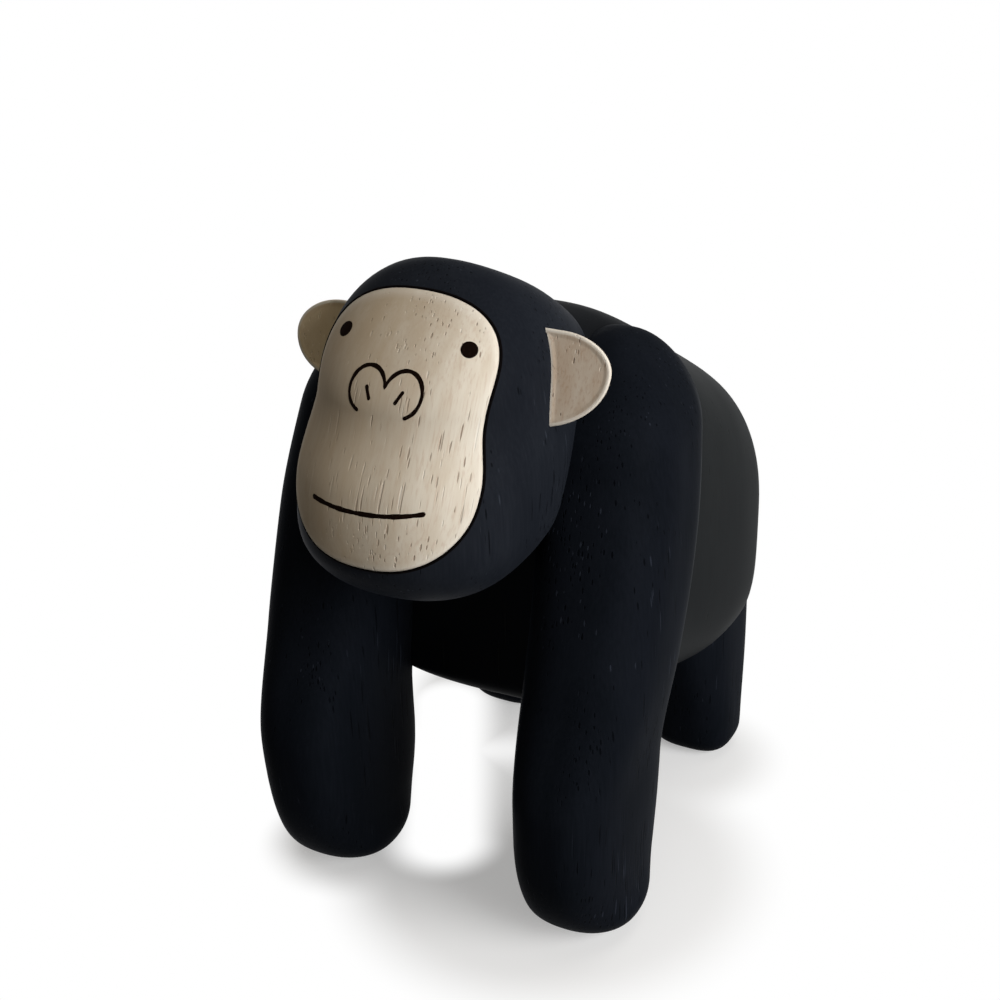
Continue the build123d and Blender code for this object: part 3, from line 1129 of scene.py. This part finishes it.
@dataclass
class Head(Block):
    """The head block: a soft-cornered dome that leans forwards at the chin."""

    bottom: float = 43.2
    top: float = 75.0
    width: float = 26.8
    depth: float = 31.0
    reach: float = 22.6
    chin_cut: float = 0.25
    chin_round: float = 8.2
    crown_cut: float = 0.12
    crown_round: float = 13.0
    softness: float = 2.3
    side_limit: float = 0.999
    levels: Line = (0, 0.195, 0.42, 0.645, 0.84, 1)
    widths: Line = (0.865, 0.94, 0.985, 0.935, 0.975, 1)
    depths: Line = (0.72, 0.91, 1, 0.965, 0.74, 0.44)
    reaches: Line = (1, 0.92, 0.80, 0.655, 0.70, 0.75)
    unevenness: float = 0.03
    seed: int = 21

    def section(self, level: np.ndarray, skin: float = 0.0) -> tuple[np.ndarray, np.ndarray, np.ndarray]:
        """The middle and half sizes of the head at a level, on a form larger all round by skin.

        Args:
            level: The heights.
            skin: How far outside the bare head the form lies.

        Returns:
            The middle's Y, the half width and the half depth.
        """
        knots = self.bottom + np.array(self.levels) * (self.top - self.bottom)
        inside = np.clip(level, self.bottom, self.top)
        inset = rounded_inset(level + self.chin_cut - self.bottom + skin, self.chin_round + skin)
        closing = closing_share(self.top + skin + self.crown_cut - level, self.crown_round + skin)
        half_x = (self.width / 2 * glide(knots, self.widths, inside) + skin) * closing - inset
        half_y = (self.depth / 2 * glide(knots, self.depths, inside) + skin) * closing - inset
        return -self.reach * glide(knots, self.reaches, inside), half_x, half_y

    def front(self, x: np.ndarray, z: np.ndarray, skin: float) -> np.ndarray:
        """Points on the front of the head: the soft box's equation solved for Y.

        Args:
            x: Places beside the middle line.
            z: Levels.
            skin: How far outside the bare head the form lies.

        Returns:
            The points.
        """
        centre, half_x, half_y = self.section(z, skin)
        aside = np.clip(np.abs(x) / half_x, 0, self.side_limit)
        y = centre - half_y * (1 - aside**self.softness) ** (1 / self.softness)
        return np.stack([x, y, z], axis=-1)

    def front_way(self, x: np.ndarray, z: np.ndarray, skin: float) -> np.ndarray:
        """Unit directions out of the front: the cross product of small steps across and up.

        Args:
            x: Places beside the middle line.
            z: Levels.
            skin: How far outside the bare head the form lies.

        Returns:
            The directions.
        """
        across = self.front(x + TINY_STEP, z, skin) - self.front(x - TINY_STEP, z, skin)
        up = self.front(x, z + TINY_STEP, skin) - self.front(x, z - TINY_STEP, skin)
        way = np.cross(across, up)
        return way / np.linalg.norm(way, axis=-1, keepdims=True)

    def clearance(self, points: np.ndarray) -> np.ndarray:
        """About how far points lie outside the head, along the line from its middle axis.

        Args:
            points: The points.

        Returns:
            The distances, negative inside.
        """
        centre, half_x, half_y = self.section(points[..., 2])
        aside, ahead = points[..., 0], points[..., 1] - centre
        power = self.softness
        share = (np.abs(aside / half_x) ** power + np.abs(ahead / half_y) ** power) ** (1 / power)
        return np.hypot(aside, ahead) * (1 - 1 / np.maximum(share, TINY_LENGTH))

    def rows(self) -> np.ndarray:
        """Level rings of a soft box, from chin to crown.

        Returns:
            Points, ring by ring.
        """
        tip = self.top + self.crown_cut - POLE_CUT
        level = end_packed(self.bottom, self.chin_cut, self.chin_round, tip, POLE_CUT, self.crown_round)
        centre, half_x, half_y = self.section(level)
        ring_x, ring_y = soft_ring(self.softness)
        y = centre[:, None] + half_y[:, None] * ring_y
        return stacked(half_x[:, None] * ring_x, y, level[:, None])

    def over_front(self, plan: np.ndarray, skin: float, lift: np.ndarray) -> np.ndarray:
        """Points over the front: on it at a place and level, and lifted square to it.

        Args:
            plan: Places and levels.
            skin: How far outside the bare head the form lies.
            lift: How far over that form each point is.

        Returns:
            The points.
        """
        x, z = plan[..., 0], plan[..., 1]
        return self.front(x, z, skin) + self.front_way(x, z, skin) * lift[..., None]


@dataclass
class FacePanel:
    """The bare wood panel of the face, a little proud of the head, with a rounded rim."""

    head: Head
    proud: float = 0.45
    top: float = 73.6
    bottom: float = 49.7
    brow_half: float = 9.6
    brow_level: float = 66.8
    waist_half: float = 9.17
    waist_level: float = 62.8
    cheek_half: float = 10.1
    cheek_level: float = 57.3
    cheek_shift: float = 0.25
    right_fill: float = 0.8
    right_level: float = 61.4
    right_spread: float = 2.8
    corner: float = 2.3
    rim_round: float = 0.4
    wall_depth: float = 1.6
    highlight_share: float = 0.45
    highlight_width: float = 0.45
    seam_width: float = 0.46
    seam_tuck: float = 0.07
    seam_lift: float = 0.3
    seam_rise: float = 0.25
    seam_sink: float = 0.1
    seam_steps: int = 12
    arc_steps: int = 44
    side_steps: int = 26
    fill_steps: int = 44
    rim_steps: int = 9
    wall_steps: int = 4
    back_shares: Point = (0.8, 0.5, 0.2)

    def arc(self, half: float, level: float, rise: float, shift: float, turns: np.ndarray) -> np.ndarray:
        """A quarter of a soft-cornered oval: its two coordinates, raised to the corner power, add to one.

        Args:
            half: The oval's half width.
            level: The level of its middle.
            rise: Its height over the middle, negative for the lower half.
            shift: How far its middle is moved sideways.
            turns: Shares of the quarter turn.

        Returns:
            Half widths, levels and shifts.
        """
        cos, sin = np.cos(math.pi / 2 * turns), np.sin(math.pi / 2 * turns)
        reach = (cos**self.corner + sin**self.corner) ** (-1 / self.corner)
        return np.stack([half * reach * cos, level + rise * reach * sin, shift + 0 * cos], axis=-1)

    def glide_side(self, start: Line, end: Line) -> np.ndarray:
        """A side from one half width, level and shift to the next, eased like a slow start and stop.

        Args:
            start: The first half width, level and shift.
            end: The next half width, level and shift.

        Returns:
            Half widths, levels and shifts.
        """
        s = np.arange(self.side_steps)[:, None] / self.side_steps
        ease = s * s * (3 - 2 * s)
        eased = np.array(start) + (np.array(end) - np.array(start)) * ease
        eased[:, 1] = start[1] + (end[1] - start[1]) * s[:, 0]
        return eased

    def outline(self) -> np.ndarray:
        """The closed gourd outline: round brow, slight waist, wide cheeks and a round chin.

        The waist is filled out on the figure's right by a bell curve of the level.

        Returns:
            Places and levels.
        """
        brow = (self.brow_half, self.brow_level, 0)
        waist = (self.waist_half, self.waist_level, self.cheek_shift)
        cheek = (self.cheek_half, self.cheek_level, self.cheek_shift)
        down = 1 - np.arange(self.arc_steps) / self.arc_steps
        on_down = np.arange(self.arc_steps + 1) / self.arc_steps
        edge = np.concatenate(
            [
                self.arc(*brow[:2], self.top - self.brow_level, 0, down),
                self.glide_side(brow, waist),
                self.glide_side(waist, cheek),
                self.arc(*cheek[:2], self.bottom - self.cheek_level, self.cheek_shift, on_down),
            ]
        )
        left = np.stack([edge[:, 2] + edge[:, 0], edge[:, 1]], axis=-1)
        back = edge[1:-1][::-1]
        fill = self.right_fill * np.exp(-(((back[:, 1] - self.right_level) / self.right_spread) ** 2))
        right = np.stack([back[:, 2] - back[:, 0] - fill, back[:, 1]], axis=-1)
        return np.concatenate([left, right])

    def build(self, wood: bpy.types.Material, line: bpy.types.Material) -> None:
        """Makes the panel and the dark line of painted shade round it.

        The panel's rings shrink from its outline to its middle. A quarter circle rounds the rim, and
        its edge goes on square to the surface into the head.

        Args:
            wood: The bare wood.
            line: The dark line of painted shade.
        """
        outline = self.outline()
        out = ring_ways(outline)
        middle = np.array([0, (self.top + self.bottom) / 2])
        inner = outline - out * self.rim_round
        shares = np.linspace(FIRST_SHARE, 1, self.fill_steps)[:-1]
        turn = np.linspace(0, math.pi / 2, self.rim_steps)
        walls = np.linspace(self.rim_round, self.wall_depth, self.wall_steps)[1:]
        fill = between(middle, inner, shares)
        rim = between(outline, inner, 1 - np.sin(turn))
        wall = np.repeat(outline[None], len(walls), axis=0)
        back = between(middle, outline, self.back_shares)
        plan = np.concatenate([fill, rim, wall, back])
        back_drops = np.full(len(back), self.wall_depth)
        drops = np.concatenate([0 * shares, self.rim_round * (1 - np.cos(turn)), walls, back_drops])
        radius = np.linalg.norm(inner - middle, axis=-1)
        inward = np.concatenate([1 - shares, np.zeros(len(plan) - len(shares))])[:, None] * radius
        # Painted highlight: the rim is paler near the outline, fading inwards.
        edge = self.highlight_share * np.clip(1 - inward / self.highlight_width, 0, 1)
        rows = self.head.over_front(plan, self.proud, -drops[:, None])
        place_piece(closed_piece("bare_face_panel", rows, edge), wood, "face_panel")
        self.build_seam_shade(outline, line)

    def build_seam_shade(self, outline: np.ndarray, line: bpy.types.Material) -> None:
        """Makes the thin dark line of painted shade that runs round the foot of the panel's edge, on the
        head.

        Its section is a low arch over its width, sunk at both edges, and a little higher along the
        figure's own right side.

        Args:
            outline: The panel's outline.
            line: The dark line of painted shade.
        """
        edge = self.head.front(outline[:, 0], outline[:, 1], self.proud)
        way = self.head.front_way(outline[:, 0], outline[:, 1], self.proud)
        along = np.roll(edge, -1, axis=0) - np.roll(edge, 1, axis=0)
        out = np.cross(along, way)
        out /= np.linalg.norm(out, axis=-1, keepdims=True)
        if ((edge - edge.mean(axis=0)) * out).sum() < 0:
            out = -out
        turn = np.linspace(0, 2 * math.pi, self.seam_steps, endpoint=False)
        aside = self.seam_width / 2 * (1 - np.cos(turn)) - self.seam_tuck
        height = self.seam_lift + self.seam_rise * np.clip(-out[:, :1], 0, 1)
        lift = height * np.sin(turn) - self.proud - self.seam_sink
        tube = edge[:, None] + out[:, None] * aside[:, None] + way[:, None] * lift[..., None]
        place_piece(ring_piece("dark_line_round_face", tube), line, "")


@dataclass
class FaceMarks:
    """The dark eyes, nose, nostrils and mouth. A swell is a height, a pace along the line and a start."""

    head: Head
    skin: float = 0.45
    lift: float = 0.035
    sink: float = 0.2
    stroke: float = 0.45
    stroke_steps: int = 16
    line_steps: int = 150
    swells: tuple[Point, ...] = ((0.1, 2.1, 0.0), (0.06, 5.3, 1.0))
    nose_stroke: float = 0.36
    eye_width: float = 1.7
    eye_half_gap: float = 6.8
    eye_level: float = 69.5
    eye_steps: int = 64
    eye_shares: Line = (0.1, 0.3, 0.5, 0.7, 0.85, 0.94, 0.99, 1, 1, 0.6, 0.2)
    eye_lifts: Line = (1, 1, 1, 0.95, 0.8, 0.55, 0.25, 0, -5, -5, -5)
    lobe_radius: float = 1.98
    lobe_half_gap: float = 1.93
    lobe_steps: int = 90
    nose_level: float = 65.7
    lobe_end: float = 75.0
    nostril_width: float = 0.33
    nostril_top: Pair = (2.05, 66.1)
    nostril_low: Pair = (1.35, 64.9)
    nostril_steps: int = 40
    mouth_left: Pair = (6.35, 55.97)
    mouth_right: Pair = (-6.0, 55.55)
    mouth_low: float = 55.33

    def stroke_rows(self, line: np.ndarray, width: float) -> np.ndarray:
        """A flat round-ended stroke along a line: an oval section whose width closes at both ends.

        The width swells and shrinks a little along the line, as a sum of sines.

        Args:
            line: Places and levels along the stroke.
            width: Its width.

        Returns:
            The rings of its surface.
        """
        step = np.gradient(line, axis=0)
        step /= np.linalg.norm(step, axis=-1, keepdims=True)
        aside = np.stack([-step[:, 1], step[:, 0]], axis=-1)
        run = np.concatenate([[0], np.cumsum(np.linalg.norm(np.diff(line, axis=0), axis=-1))])
        end = np.minimum(run, run[-1] - run)
        taper = closing_share(end + POLE_CUT, width / 2)
        turn = np.linspace(0, 2 * math.pi, self.stroke_steps, endpoint=False)
        swell = sum(height * np.sin(run * pace + start) for height, pace, start in self.swells)
        half = width / 2 * taper * (1 + swell)
        plan = line[:, None] + aside[:, None] * (half[:, None] * np.cos(turn))[..., None]
        rise = np.where(np.sin(turn) > 0, self.lift, self.sink) * np.sin(turn)
        return self.head.over_front(plan, self.skin, rise[None] * taper[:, None])

    def lobe(self, side: Side) -> np.ndarray:
        """The line of one nose lobe: an arc from the middle line over and down to its outer end.

        Args:
            side: Which lobe.

        Returns:
            Places and levels.
        """
        start = math.acos(-self.lobe_half_gap / self.lobe_radius)
        turn = np.linspace(start, -math.radians(self.lobe_end), self.lobe_steps)
        x = self.lobe_half_gap + self.lobe_radius * np.cos(turn)
        return np.stack([side.value * x, self.nose_level + self.lobe_radius * np.sin(turn)], axis=-1)

    def mouth(self) -> np.ndarray:
        """The line of the mouth: a parabola through both ends and its low point.

        Returns:
            Places and levels.
        """
        x = np.linspace(self.mouth_right[0], self.mouth_left[0], self.line_steps)
        ends = [self.mouth_right[0], 0, self.mouth_left[0]]
        levels = [self.mouth_right[1], self.mouth_low, self.mouth_left[1]]
        return np.stack([x, np.polyval(np.polyfit(ends, levels, 2), x)], axis=-1)

    def eye_rows(self, side: Side) -> np.ndarray:
        """A round dot on the face: rings in the tangent plane, let down on to the surface.

        Args:
            side: Which eye.

        Returns:
            The rings of its surface.
        """
        x, z = np.array(side.value * self.eye_half_gap), np.array(self.eye_level)
        centre = self.head.front(x, z, self.skin)
        way = self.head.front_way(x, z, self.skin)
        across = np.cross(way, (0, 0, 1))
        across /= np.linalg.norm(across)
        up = np.cross(across, way)
        turn = np.linspace(0, 2 * math.pi, self.eye_steps, endpoint=False)
        ring = np.cos(turn)[:, None] * across + np.sin(turn)[:, None] * up
        disc = centre + np.array(self.eye_shares)[:, None, None] * self.eye_width / 2 * ring
        lifts = np.array(self.eye_lifts)[:, None] * self.lift
        return self.head.over_front(disc[..., [0, 2]], self.skin, lifts)

    def build(self, line: bpy.types.Material) -> None:
        """Makes the marks.

        Args:
            line: The dark line.
        """
        marks = {}
        for side in Side:
            marks[f"eye_{side.word}"] = self.eye_rows(side)
            ends = np.array([self.nostril_top, self.nostril_low]) * [side.value, 1]
            path = np.linspace(*ends, self.nostril_steps)
            marks[f"nostril_{side.word}"] = self.stroke_rows(path, self.nostril_width)
        nose = np.concatenate([self.lobe(Side.RIGHT)[::-1], self.lobe(Side.LEFT)[1:]])
        marks["nose_line"] = self.stroke_rows(nose, self.nose_stroke)
        marks["mouth_line"] = self.stroke_rows(self.mouth(), self.stroke)
        for node, rows in marks.items():
            piece = closed_piece(f"drawn_{node.removesuffix('_line')}", rows)
            place_piece(piece, line, node)


@dataclass
class Ear:
    """A D-shaped plate that narrows towards the back, with a shallow dish in front inside its rim."""

    side: Side
    head: Head
    top: float
    bottom: float
    outer_half: float
    high_half: float
    low_half: float
    centre_share: float
    thickness: float = 2.6
    top_root_half: float = 8.6
    low_root_half: float = 9.0
    setback: float = 16.2
    lean_degrees: float = 18.8
    edge_round: float = 0.2
    slant_width: float = 1.1
    slant_depth: float = 2.3
    dish_depth: float = 0.07
    dish_rim: float = 0.1
    dish_slope: float = 0.5
    highlight_width: float = 0.2
    highlight_gain: float = 1.5
    middle: float = 13.2
    arc_steps: int = 60
    root_steps: int = 24
    fill_steps: int = 60
    rim_steps: int = 6

    def outline(self) -> np.ndarray:
        """The closed D outline in the ear's own plane: two quarter ovals and the straight root.

        Returns:
            Places and levels.
        """
        drop = (self.top - self.bottom) / math.cos(math.radians(self.lean_degrees))
        centre = drop * self.centre_share
        turn = np.linspace(0, math.pi / 2, self.arc_steps)
        high_x = self.high_half + (self.outer_half - self.high_half) * np.sin(turn)
        high = np.stack([high_x, -centre + centre * np.cos(turn)], axis=-1)
        low_x = self.low_half + (self.outer_half - self.low_half) * np.cos(turn)
        low = np.stack([low_x, -centre - (drop - centre) * np.sin(turn)], axis=-1)
        corner_low, corner_top = np.array([self.low_root_half, -drop]), np.array([self.top_root_half, 0])
        root_low = np.linspace(low[-1], corner_low, self.root_steps)[1:]
        root = np.linspace(corner_low, corner_top, self.root_steps)[1:]
        root_top = np.linspace(corner_top, high[0], self.root_steps)[1:-1]
        return np.concatenate([high, low[1:], root_low, root, root_top])

    def build(self, wood: bpy.types.Material) -> None:
        """Makes the ear.

        Rings grow from the middle of the front to the outline, go round the rim in a quarter circle,
        slant in to the back and close there. The front sinks in a smooth step inside the rim, and its
        rim also follows the line where the ear meets the head.

        Args:
            wood: The bare wood.
        """
        outline = self.outline()
        out = ring_ways(outline)
        middle = np.array([self.middle, outline[:, 1].mean()])
        inner = outline - out * self.edge_round
        back = outline - out * self.slant_width
        shares = np.linspace(FIRST_SHARE, 1, self.fill_steps)[:-1]
        turn = np.linspace(0, math.pi / 2, self.rim_steps)
        slant = np.linspace(0, 1, self.rim_steps)
        rim = between(outline, inner, 1 - np.sin(turn))
        behind = [between(outline, back, slant), between(middle, back, shares[::-1])]
        plan = np.concatenate([between(middle, inner, shares), rim, *behind])
        rim_depth = self.edge_round * (1 - np.cos(turn))
        slant_depth = self.thickness - self.slant_depth * (1 - slant)
        depth = np.concatenate([0 * shares, rim_depth, slant_depth, self.thickness + 0 * shares])
        lean = math.radians(self.lean_degrees)
        up = np.array([0, math.sin(lean), math.cos(lean)])
        ahead = np.array([0, -math.cos(lean), math.sin(lean)])
        origin = np.array([0, -self.setback, self.top])
        flat = origin + plan[..., :1] * [1, 0, 0] + plan[..., 1:] * up
        rows = flat - ahead * depth[:, None, None]
        front = len(shares)
        inward = np.zeros(plan.shape[:2])
        inward[:front] = (1 - shares)[:, None] * np.linalg.norm(inner - middle, axis=-1)
        near = np.minimum(inward, np.maximum(self.head.clearance(rows), 0))
        sunk = np.clip((near - self.dish_rim) / self.dish_slope, 0, 1)
        sunk = self.dish_depth * sunk**2 * (3 - 2 * sunk)
        rows = (rows - ahead * sunk[..., None]) * [self.side.value, 1, 1]
        # Painted highlight: paler wood along the front's rim and where the ear meets the head.
        edge = np.clip(self.highlight_gain * (1 - near / self.highlight_width), 0, 1)
        edge[front + self.rim_steps :] = 0
        name = f"ear_{self.side.word}"
        place_piece(closed_piece(f"bare_{name}", rows, edge), wood, name)


@dataclass
class Studio:
    """The camera, the lamps, the pale floor and the white surroundings."""

    camera_at: Point = (85.45, -168.29, 133.95)
    camera_right: Point = (0.88901, 0.45751, -0.01854)
    camera_up: Point = (-0.18644, 0.39867, 0.89794)
    camera_back: Point = (0.41821, -0.79482, 0.43972)
    lens: float = 67.05
    sensor: float = 36.0
    clip: Pair = (0.01, 20.0)
    aim: Point = (0, 0, 38)
    floor_half: float = 3000.0
    floor_drop: float = 0.02
    floor_seen: Colour = (0.72, 0.72, 0.72, 1.0)
    floor_bounce: Colour = (0.05, 0.05, 0.05, 1.0)
    floor_white: float = 0.36
    floor_spots: tuple[tuple[float, float, float, float], ...] = (
        (8.0, -10.0, 18.0, 28.0),
        (13.0, 18.0, 6.0, 14.0),
        (-15.5, -15.5, 5.5, 12.0),
        (-13.0, 22.5, 8.0, 16.0),
    )
    strip_start: Point = (-20.0, 16.0, 0.0)
    strip_end: Point = (-6.0, -11.0, 0.0)
    strip_span: Pair = (8.5, 3.0)
    shade_colour: Colour = (1.0, 0.82, 0.55, 1.0)
    shade_level: float = 0.08
    lamps: dict[str, tuple] = field(
        default_factory=lambda: {
            "window": ((0.9, -0.27, 0.38), 420.0, 260.0, 1.08),
            "ceiling": ((0.05, 0.1, 1.0), 800.0, 700.0, 0.24),
        }
    )

    def add_camera(self) -> None:
        """Puts the camera where the picture was taken from."""
        camera = bpy.data.cameras.new("camera")
        camera.lens = self.lens
        camera.sensor_width = self.sensor
        camera.sensor_fit = "HORIZONTAL"
        camera.clip_start, camera.clip_end = self.clip
        holder = add_object("camera", camera)
        turn = Matrix((self.camera_right, self.camera_up, self.camera_back)).transposed()
        holder.matrix_world = Matrix.Translation(Vector(self.camera_at) * MM) @ turn.to_4x4()
        bpy.context.scene.camera = holder

    def add_lamp(self, name: str, way: Point, away: float, size: float, level: float) -> None:
        """Adds a square lamp. A level of one lights a surface that faces it as brightly as its colour.

        Args:
            name: The lamp's name.
            way: The direction from the figure to the lamp.
            away: Its distance.
            size: The length of its sides.
            level: How brightly it lights the figure.
        """
        lamp = bpy.data.lights.new(name, "AREA")
        lamp.shape = "SQUARE"
        lamp.size = size * MM
        lamp.energy = level * (math.pi * away * MM) ** 2
        holder = add_object(name, lamp)
        direction = Vector(way).normalized()
        spot = (Vector(self.aim) + direction * away) * MM
        turn = direction.to_track_quat("Z", "Y").to_matrix().to_4x4()
        holder.matrix_world = Matrix.Translation(spot) @ turn

    def add_floor(self) -> None:
        """Adds the pale floor, which shows white to the camera and keeps the shadow round the feet."""
        half, level = self.floor_half * MM, -self.floor_drop * MM
        corners = [(-half, -half, level), (half, -half, level), (half, half, level), (-half, half, level)]
        mesh = bpy.data.meshes.new("floor")
        mesh.from_pydata(corners, [], [(0, 1, 2, 3)])
        mesh.materials.append(self.floor_material())
        floor = add_object("floor", mesh)

    def floor_material(self) -> bpy.types.Material:
        """Builds the floor's material: matt and lifted towards white, plain white away from the feet, and
        painted light on a strip between the arms.

        Returns:
            The material.
        """
        recipe = Recipe(bpy.data.materials.new("pale_floor"))
        seen, where = recipe.seen(), recipe.place()
        white_share = seen
        for x, y, near, far in self.floor_spots:
            away = recipe.vector("DISTANCE", where, (x, y, 0))
            white_share = recipe.times(white_share, recipe.step(away, (near, far)))
        # Painted light: the strip between the arms shows plain white over the shadow that falls there.
        strip = recipe.times(self.painted_light_strip(recipe, where), seen)
        white_share = recipe.sum(white_share, strip, "MAXIMUM")
        colour = recipe.blend(seen, self.floor_bounce, self.floor_seen)
        matt = recipe.add("BsdfDiffuse", {"Color": colour}).outputs[0]
        glow = recipe.add("Emission", {"Strength": recipe.times(seen, self.floor_white)}).outputs[0]
        shaded = recipe.add("AddShader", {0: matt, 1: glow}).outputs[0]
        white = recipe.add("Emission", {"Strength": 1.0}).outputs[0]
        both = recipe.add("MixShader", {0: white_share, 1: shaded, 2: white}).outputs[0]
        recipe.add("OutputMaterial", {"Surface": both})
        return recipe.owner

    def painted_light_strip(self, recipe: Recipe, where: Socket) -> Socket:
        """Finds the strip of floor between the arms that shows painted light over the shadow there.

        It is the distance to the nearest place on the line along the strip's middle.

        Args:
            recipe: The floor's material under construction.
            where: The place on the floor in millimetres.

        Returns:
            One on the strip, nought beyond it.
        """
        along = Vector(self.strip_end) - Vector(self.strip_start)
        ahead = recipe.vector("SUBTRACT", where, self.strip_start)
        part = recipe.vector("DOT_PRODUCT", ahead, tuple(along / along.length_squared))
        share = recipe.add("Clamp", {0: part}).outputs[0]
        away = recipe.vector("DISTANCE", ahead, recipe.vector("SCALE", tuple(along), share))
        return recipe.step(away, self.strip_span)

    def add_surroundings(self) -> None:
        """Makes the world white where it is seen, and a soft warm shade where it only lights."""
        recipe = Recipe(bpy.data.worlds.new("surroundings"))
        shade = {"Color": self.shade_colour, "Strength": self.shade_level}
        soft = recipe.add("Background", shade).outputs[0]
        white = recipe.add("Background", {"Color": (1, 1, 1, 1)}).outputs[0]
        both = recipe.add("MixShader", {0: recipe.seen(), 1: soft, 2: white}).outputs[0]
        recipe.add("OutputWorld", {"Surface": both})
        bpy.context.scene.world = recipe.owner

    def build(self) -> None:
        """Sets up the whole studio."""
        self.add_camera()
        for name, (way, away, size, level) in self.lamps.items():
            self.add_lamp(name, way, away, size, level)
        self.add_floor()
        self.add_surroundings()
        bpy.context.scene.view_settings.view_transform = "Standard"


def dress_dowels(wood: bpy.types.Material) -> None:
    """Gives the hidden dowels, whose solids stay as they are, a wood finish.

    Args:
        wood: The dowels' wood.
    """
    for name in ("neck_dowel", "arm_dowels", "leg_dowels"):
        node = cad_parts[name]
        for slot in node.material_slots:
            slot.material = wood
        log.info("%s: dressed", name)


def main() -> None:
    """Builds the ornament and the studio."""
    logging.basicConfig(level=logging.INFO, format="%(message)s")
    head, limb_paint, ear_wood = Head(), LIMB_PAINT.material(), EAR_WOOD.material()
    Trunk().build("trunk", Slot.GREY_PAINT, GREY_PAINT.material())
    head.build("head", Slot.BLACK_PAINT, HEAD_PAINT.material())
    for side in Side:
        Arm(side).build(f"arm_{side.word}", Slot.BLACK_PAINT, limb_paint, side.value)
        Leg(side).build(f"leg_{side.word}", Slot.BLACK_PAINT, limb_paint, side.value)
    near = {"outer_half": 18.2, "high_half": 12.7, "low_half": 9.6, "centre_share": 0.366}
    far = {"outer_half": 17.3, "high_half": 12.2, "low_half": 12.2, "centre_share": 0.46}
    Ear(Side.LEFT, head, top=69.5, bottom=60.2, **near).build(ear_wood)
    Ear(Side.RIGHT, head, top=68.9, bottom=61.3, **far).build(ear_wood)
    FacePanel(head).build(BARE_WOOD.material(), SEAM_SHADE.material())
    FaceMarks(head).build(DARK_LINE.material())
    dress_dowels(DOWEL_WOOD.material())
    Studio().build()


if __name__ == "__main__":
    main()
